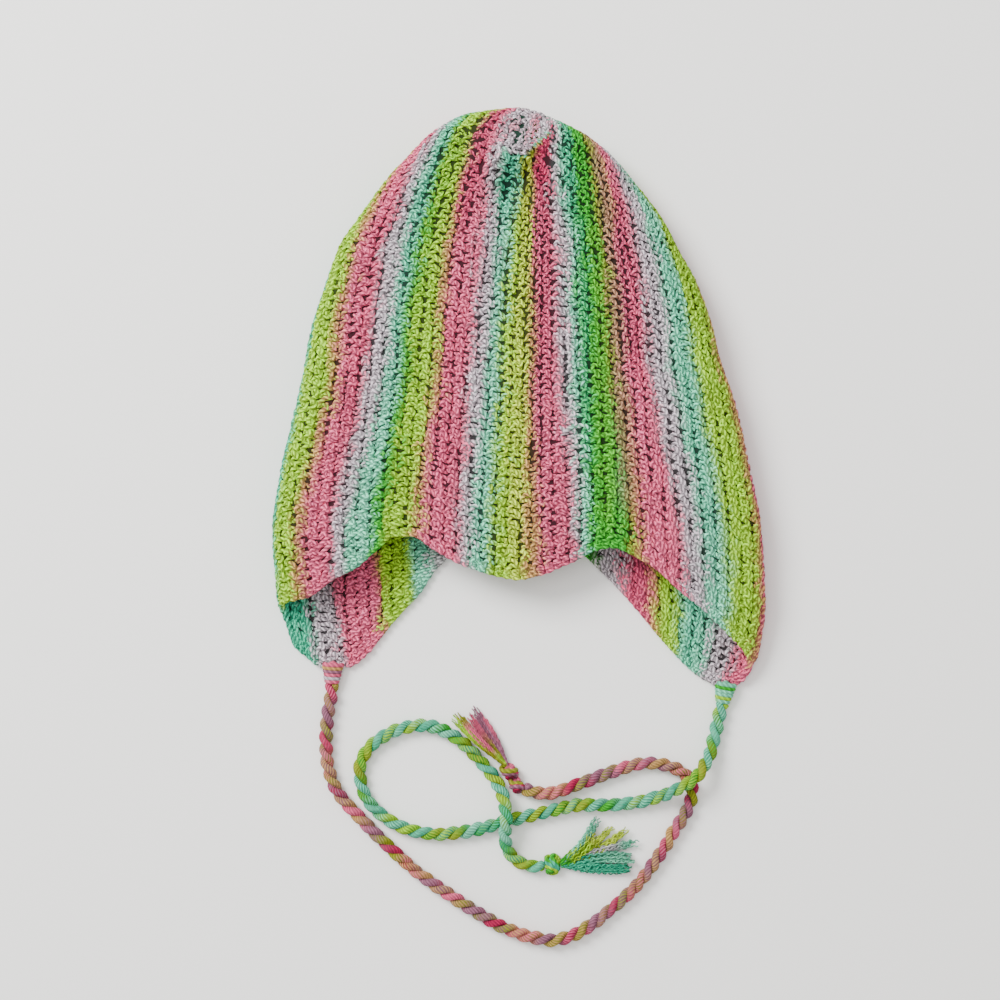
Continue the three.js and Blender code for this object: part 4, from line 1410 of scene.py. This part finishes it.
    def ball(self, ends: tuple[np.ndarray, np.ndarray], radius: float, number: int) -> Surface:
        """Winds yarn over an egg: its angle grows evenly, its radius follows a circle's share.

        Args:
            ends: The egg's two ends.
            radius: Its radius.
            number: Which ball of the knot it is.

        Returns:
            The winding's and the core's surface.
        """
        start, end = ends
        turns, yarn = self.ball_turns, self.wrap_yarn
        rng = np.random.default_rng(self.seed + 70 + number)
        count = int(turns * 24)
        t = np.linspace(0.04, 0.96, count)
        axis = unit(end - start)
        side = unit(np.cross(axis, np.array([0.0, 0.0, 1.0])))
        up = np.cross(side, axis)
        angle = 2 * np.pi * turns * t + number
        reach = (radius - yarn) * np.sqrt(np.maximum(1 - (1.7 * t - 0.85) ** 2, 0.05))
        reach = reach * (1 + 0.1 * wander(rng, t * turns, 0.6))
        middle = start + (end - start) * t[:, None] + axis * (1.3 * MM * np.sin(angle * 0.9))[:, None]
        arm = np.cos(angle)[:, None] * side + (0.94 * np.sin(angle))[:, None] * up
        shade = TieColours.run(self.colours.knot, count, self.seed + 20 + number) * self.ball_shade
        paler = np.clip(shade * self.paler, 0, 1)
        line = middle + reach[:, None] * arm
        wound = tube(line, unit(arm), np.full(count, yarn), self.wrap_sides, shade, paler)
        rings = self.core_sides
        k = np.linspace(0, 1, rings)
        core_line = start + (end - start) * k[:, None]
        core_radius = (radius - yarn * 0.9) * np.sqrt(np.maximum(1 - (2 * k - 1) ** 2, 0.02))
        # The core darker than the winding: painted shade in the gaps between the turns
        core_shade = TieColours.run(self.colours.knot, rings, self.seed + 30) * self.core_shade
        core = tube(core_line, np.tile(up, (rings, 1)), core_radius, rings, core_shade, core_shade)
        return Surface.joined([wound, core])

    def lock(
        self,
        number: int,
        lock: np.ndarray,
        head: np.ndarray,
        plane: tuple[np.ndarray, np.ndarray],
        rng: np.random.Generator,
    ) -> list[Surface]:
        """Makes one lock of the tassel.

        A strand follows its lock's curve, beside its middle by a share of the lock's radius that
        grows towards the loose end, with a crinkle that turns round it every few millimetres,
        and thins to a frayed tip.

        Args:
            number: Which lock of the tassel it is.
            lock: Its row of the tassel's table.
            head: Where the tassel leaves the knot, on the table.
            plane: The tassel's direction and the direction beside it.
            rng: The tassel's own random numbers.

        Returns:
            The lock's strands.
        """
        along, side = plane
        out, aside, bend, width, rise = lock
        radius = width * self.knot_width / 2
        low = radius + 0.05 * MM

        def place(forward: float, beside: float, height: float) -> np.ndarray:
            """A place at shares of the tassel's length from its head, at a height."""
            ahead = along * forward * self.tassel_length
            return head + ahead + side * beside * self.tassel_length + np.array([0, 0, height])

        curve = smooth_line(
            np.array([
                place(-0.05, 0, self.diameter * 0.46),
                place(out * 0.5, aside * 0.4 + bend, max(rise * self.diameter, low)),
                place(out, aside, low),
            ]),
            self.end_step,
        )
        way = unit(np.gradient(curve, axis=0))
        flat = unit(np.cross(way, np.array([0.0, 0.0, 1.0])))
        up = np.cross(flat, way)
        count = len(curve)
        t = np.linspace(0, 1, count)
        dyes = self.colours.ends[number % len(self.colours.ends)]
        metres = lengths_along(curve)
        strands = int(np.clip(round((radius / (0.36 * MM)) ** 2 * 0.55), 6, 26))
        parts = []
        for strand in range(strands):
            away = math.sqrt((strand + 0.5) / strands) * 0.86
            angle = 2.4 * strand + 0.8 * t + rng.uniform(0, 0.4)
            reach = away * radius * (0.55 + 0.55 * np.minimum(1, t * 3))
            keep = max(5, int(count * rng.uniform(0.84, 1.0)))
            kink = 2 * np.pi * metres / (2.9 * MM * rng.uniform(0.8, 1.25)) + rng.uniform(0, 6.28)
            wave = self.crinkle * ease(t * 5) * (0.6 + 0.4 * wander(rng, metres, 0.004))
            line = (
                curve
                + (reach * np.cos(angle) + wave * np.cos(kink))[:, None] * flat
                + (reach * np.sin(angle) + 0.7 * wave * np.sin(kink))[:, None] * up
            )
            thick = self.end_yarn * (1 - 0.45 * t**3) * rng.uniform(0.85, 1.1)
            line[:, 2] = np.maximum(line[:, 2], thick + self.table_gap)
            shade = TieColours.run(dyes, count, self.seed + 60 + 31 * number + strand, 0.14)
            shade = np.clip(shade * rng.uniform(0.6, 1.05), 0, 1)
            paler = np.clip(shade * 1.25, 0, 1)
            parts.append(tube(
                line[:keep], up[:keep], thick[:keep], self.end_sides, shade[:keep], paler[:keep]
            ))
        return parts

    def tassel(self, finish: bpy.types.Material) -> bpy.types.Object:
        """Spreads the tassel's locks, each a bundle of strands, over the table.

        Args:
            finish: Its material.

        Returns:
            The tassel's object.
        """
        along = np.array([math.cos(self.heading), math.sin(self.heading), 0.0])
        side = np.array([-along[1], along[0], 0.0])
        balls = self.balls()
        if self.side == "left":
            head = balls[1][0] + along * (self.knot_width * 0.5 + 1.2 * self.gap)
        else:
            beside = self.knot_width * 0.72 + 1.4 * self.gap
            head = balls[0][0] + np.array([beside, self.knot_width * 0.08, 0.0])
        rng = np.random.default_rng(self.seed + 50)
        parts = []
        for number, lock in enumerate(self.locks):
            parts.extend(self.lock(number, lock, head, (along, side), rng))
        piece = Surface.joined(parts).to_object(f"{self.side}_tassel", finish)
        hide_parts(f"{self.side}_tie_tassel")
        return piece

    def build(self, slots: tuple[str, str, str, str]) -> None:
        """Args:
            slots: The record's slots of the root, the cord, the knot and the ends; not used.
        """
        twist = YarnFinish(f"{self.side}_cord_wool", ply_pitch=0.0041, plies=5.0, marl=0.36).material()
        wrap = YarnFinish(f"{self.side}_wrap_wool", ply_pitch=0.0040).material()
        cord, root, knot, tassel = self.cord(twist), self.root(wrap), self.knot(wrap), self.tassel(wrap)
        line = self.centre_line()
        tuple(self.exit())


# The studio

@dataclass
class Studio:
    """Camera straight above, soft light from the upper left, and a pale table."""

    look_at: tuple[float, float] = (-7.6659 * MM, -37.7624 * MM)
    camera_height: float = 900 * MM
    view_width: float = 408 * MM
    table_reach: float = 6.0
    surround: tuple[float, float, float] = (1.0, 0.99, 0.975)
    surround_strength: float = 0.9

    def camera(self) -> None:
        """Sets the camera straight above the middle of the photograph."""
        data = bpy.data.cameras.new("camera")
        data.sensor_width = 36.0
        data.lens = 36.0 * self.camera_height / self.view_width
        data.clip_start, data.clip_end = 0.01, 20.0
        camera = bpy.data.objects.new("camera", data)
        camera.location = (*self.look_at, self.camera_height)
        bpy.context.scene.collection.objects.link(camera)
        bpy.context.scene.camera = camera

    def table(self) -> None:
        """Lays the pale table under the object."""
        mesh = bpy.data.meshes.new("table")
        far = self.table_reach
        corners = [(-far, -far, 0), (far, -far, 0), (far, far, 0), (-far, far, 0)]
        mesh.from_pydata(corners, [], [(0, 1, 2, 3)])
        mesh.materials.append(TableFinish().material())
        table = bpy.data.objects.new("table", mesh)
        bpy.context.scene.collection.objects.link(table)

    def lights(self) -> None:
        """Adds the window-like main light and a pale surround."""
        for name, place, size, power in (
            ("window", (-0.9, 0.75, 1.15), 0.8, 46.0),
            ("ceiling", (-0.2, 0.3, 1.9), 1.2, 12.0),
        ):
            data = bpy.data.lights.new(name, "AREA")
            data.shape, data.size, data.energy = "DISK", size, power
            light = bpy.data.objects.new(name, data)
            light.location = place
            aim = Vector((0, 0, 0)) - Vector(place)
            light.rotation_euler = aim.to_track_quat("-Z", "Y").to_euler()
            bpy.context.scene.collection.objects.link(light)
        world = bpy.data.worlds.new("surround")
        world.use_nodes = True
        background = world.node_tree.nodes["Background"]
        background.inputs["Color"].default_value = (*self.surround, 1.0)
        background.inputs["Strength"].default_value = self.surround_strength
        bpy.context.scene.world = world


ROSE = TieColours(
    first=(Dye.CRIMSON, Dye.MAUVE, Dye.PINK, Dye.MAUVE, Dye.CRIMSON, Dye.PINK, Dye.MAUVE) * 4,
    second=(Dye.OLIVE, Dye.TAN, Dye.MAUVE, Dye.OLIVE, Dye.MAUVE, Dye.TAN, Dye.OLIVE) * 4,
    flecks=((Dye.PINK, Dye.MAUVE, Dye.CRIMSON, Dye.TAN, Dye.MAUVE) * 6,
            (Dye.TAN, Dye.MAUVE, Dye.OLIVE, Dye.PINK, Dye.TAN) * 6),
    root=(Dye.PINK, Dye.TAN, Dye.MAUVE, Dye.PINK, Dye.LAVENDER, Dye.PINK),
    knot=(Dye.CRIMSON, Dye.MAUVE, Dye.CRIMSON, Dye.OLIVE, Dye.PINK),
    ends=((Dye.MAUVE, Dye.MAUVE), (Dye.MAUVE, Dye.PINK), (Dye.OLIVE, Dye.PINK),
          (Dye.LIME, Dye.PINK, Dye.OLIVE), (Dye.OLIVE, Dye.LIME)),
)
GREEN = TieColours(
    first=(Dye.TEAL, Dye.MINT, Dye.TEAL, Dye.GREEN, Dye.MINT, Dye.TEAL, Dye.MINT) * 4,
    second=(Dye.LIME, Dye.GREEN, Dye.OLIVE, Dye.LIME, Dye.TEAL, Dye.LIME, Dye.GREEN) * 4,
    flecks=((Dye.MINT, Dye.TEAL, Dye.MINT, Dye.LIME, Dye.TEAL) * 6,
            (Dye.LIME, Dye.MINT, Dye.GREEN, Dye.OLIVE, Dye.LIME) * 6),
    root=(Dye.MINT, Dye.GREEN, Dye.MINT, Dye.MINT, Dye.LIME, Dye.MINT),
    knot=(Dye.GREEN, Dye.LIME, Dye.TEAL, Dye.GREEN, Dye.LIME),
    ends=((Dye.GREEN, Dye.LIME, Dye.YELLOW), (Dye.MINT, Dye.MINT), (Dye.LIME, Dye.YELLOW),
          (Dye.LIME, Dye.YELLOW), (Dye.GREY, Dye.GREY, Dye.MINT), (Dye.TEAL, Dye.MINT),
          (Dye.TEAL, Dye.TEAL)),
)


def main() -> None:
    """Builds the studio, the ties and the cap."""
    logging.basicConfig(level=logging.INFO)
    studio = Studio()
    studio.camera()
    left = Tie(
        side="left",
        route=LEFT_TIE,
        root_x=-0.378 * CapShape.flat_width,
        root_lean=-0.4 * MM,
        locks=LEFT_LOCKS,
        heading=math.atan2(58, -30),
        colours=ROSE,
        crinkle=0.14 * MM,
    )
    right = Tie(
        side="right",
        route=RIGHT_TIE,
        root_x=0.42 * CapShape.flat_width,
        root_lean=-1.2 * MM,
        locks=RIGHT_LOCKS,
        heading=0.02,
        colours=GREEN,
        crinkle=0.5 * MM,
    )
    left.build(("rose_wrap", "rose_cord", "rose_knot", "rose_ends"))
    right.build(("mint_wrap", "green_cord", "green_knot", "green_ends"))
    studio.table()
    studio.lights()
    KnitGroundPaintedShade().build()
    GarterKnit().build()
    BrimEdge().build()
    bpy.context.view_layer.update()


if __name__ == "__main__":
    main()
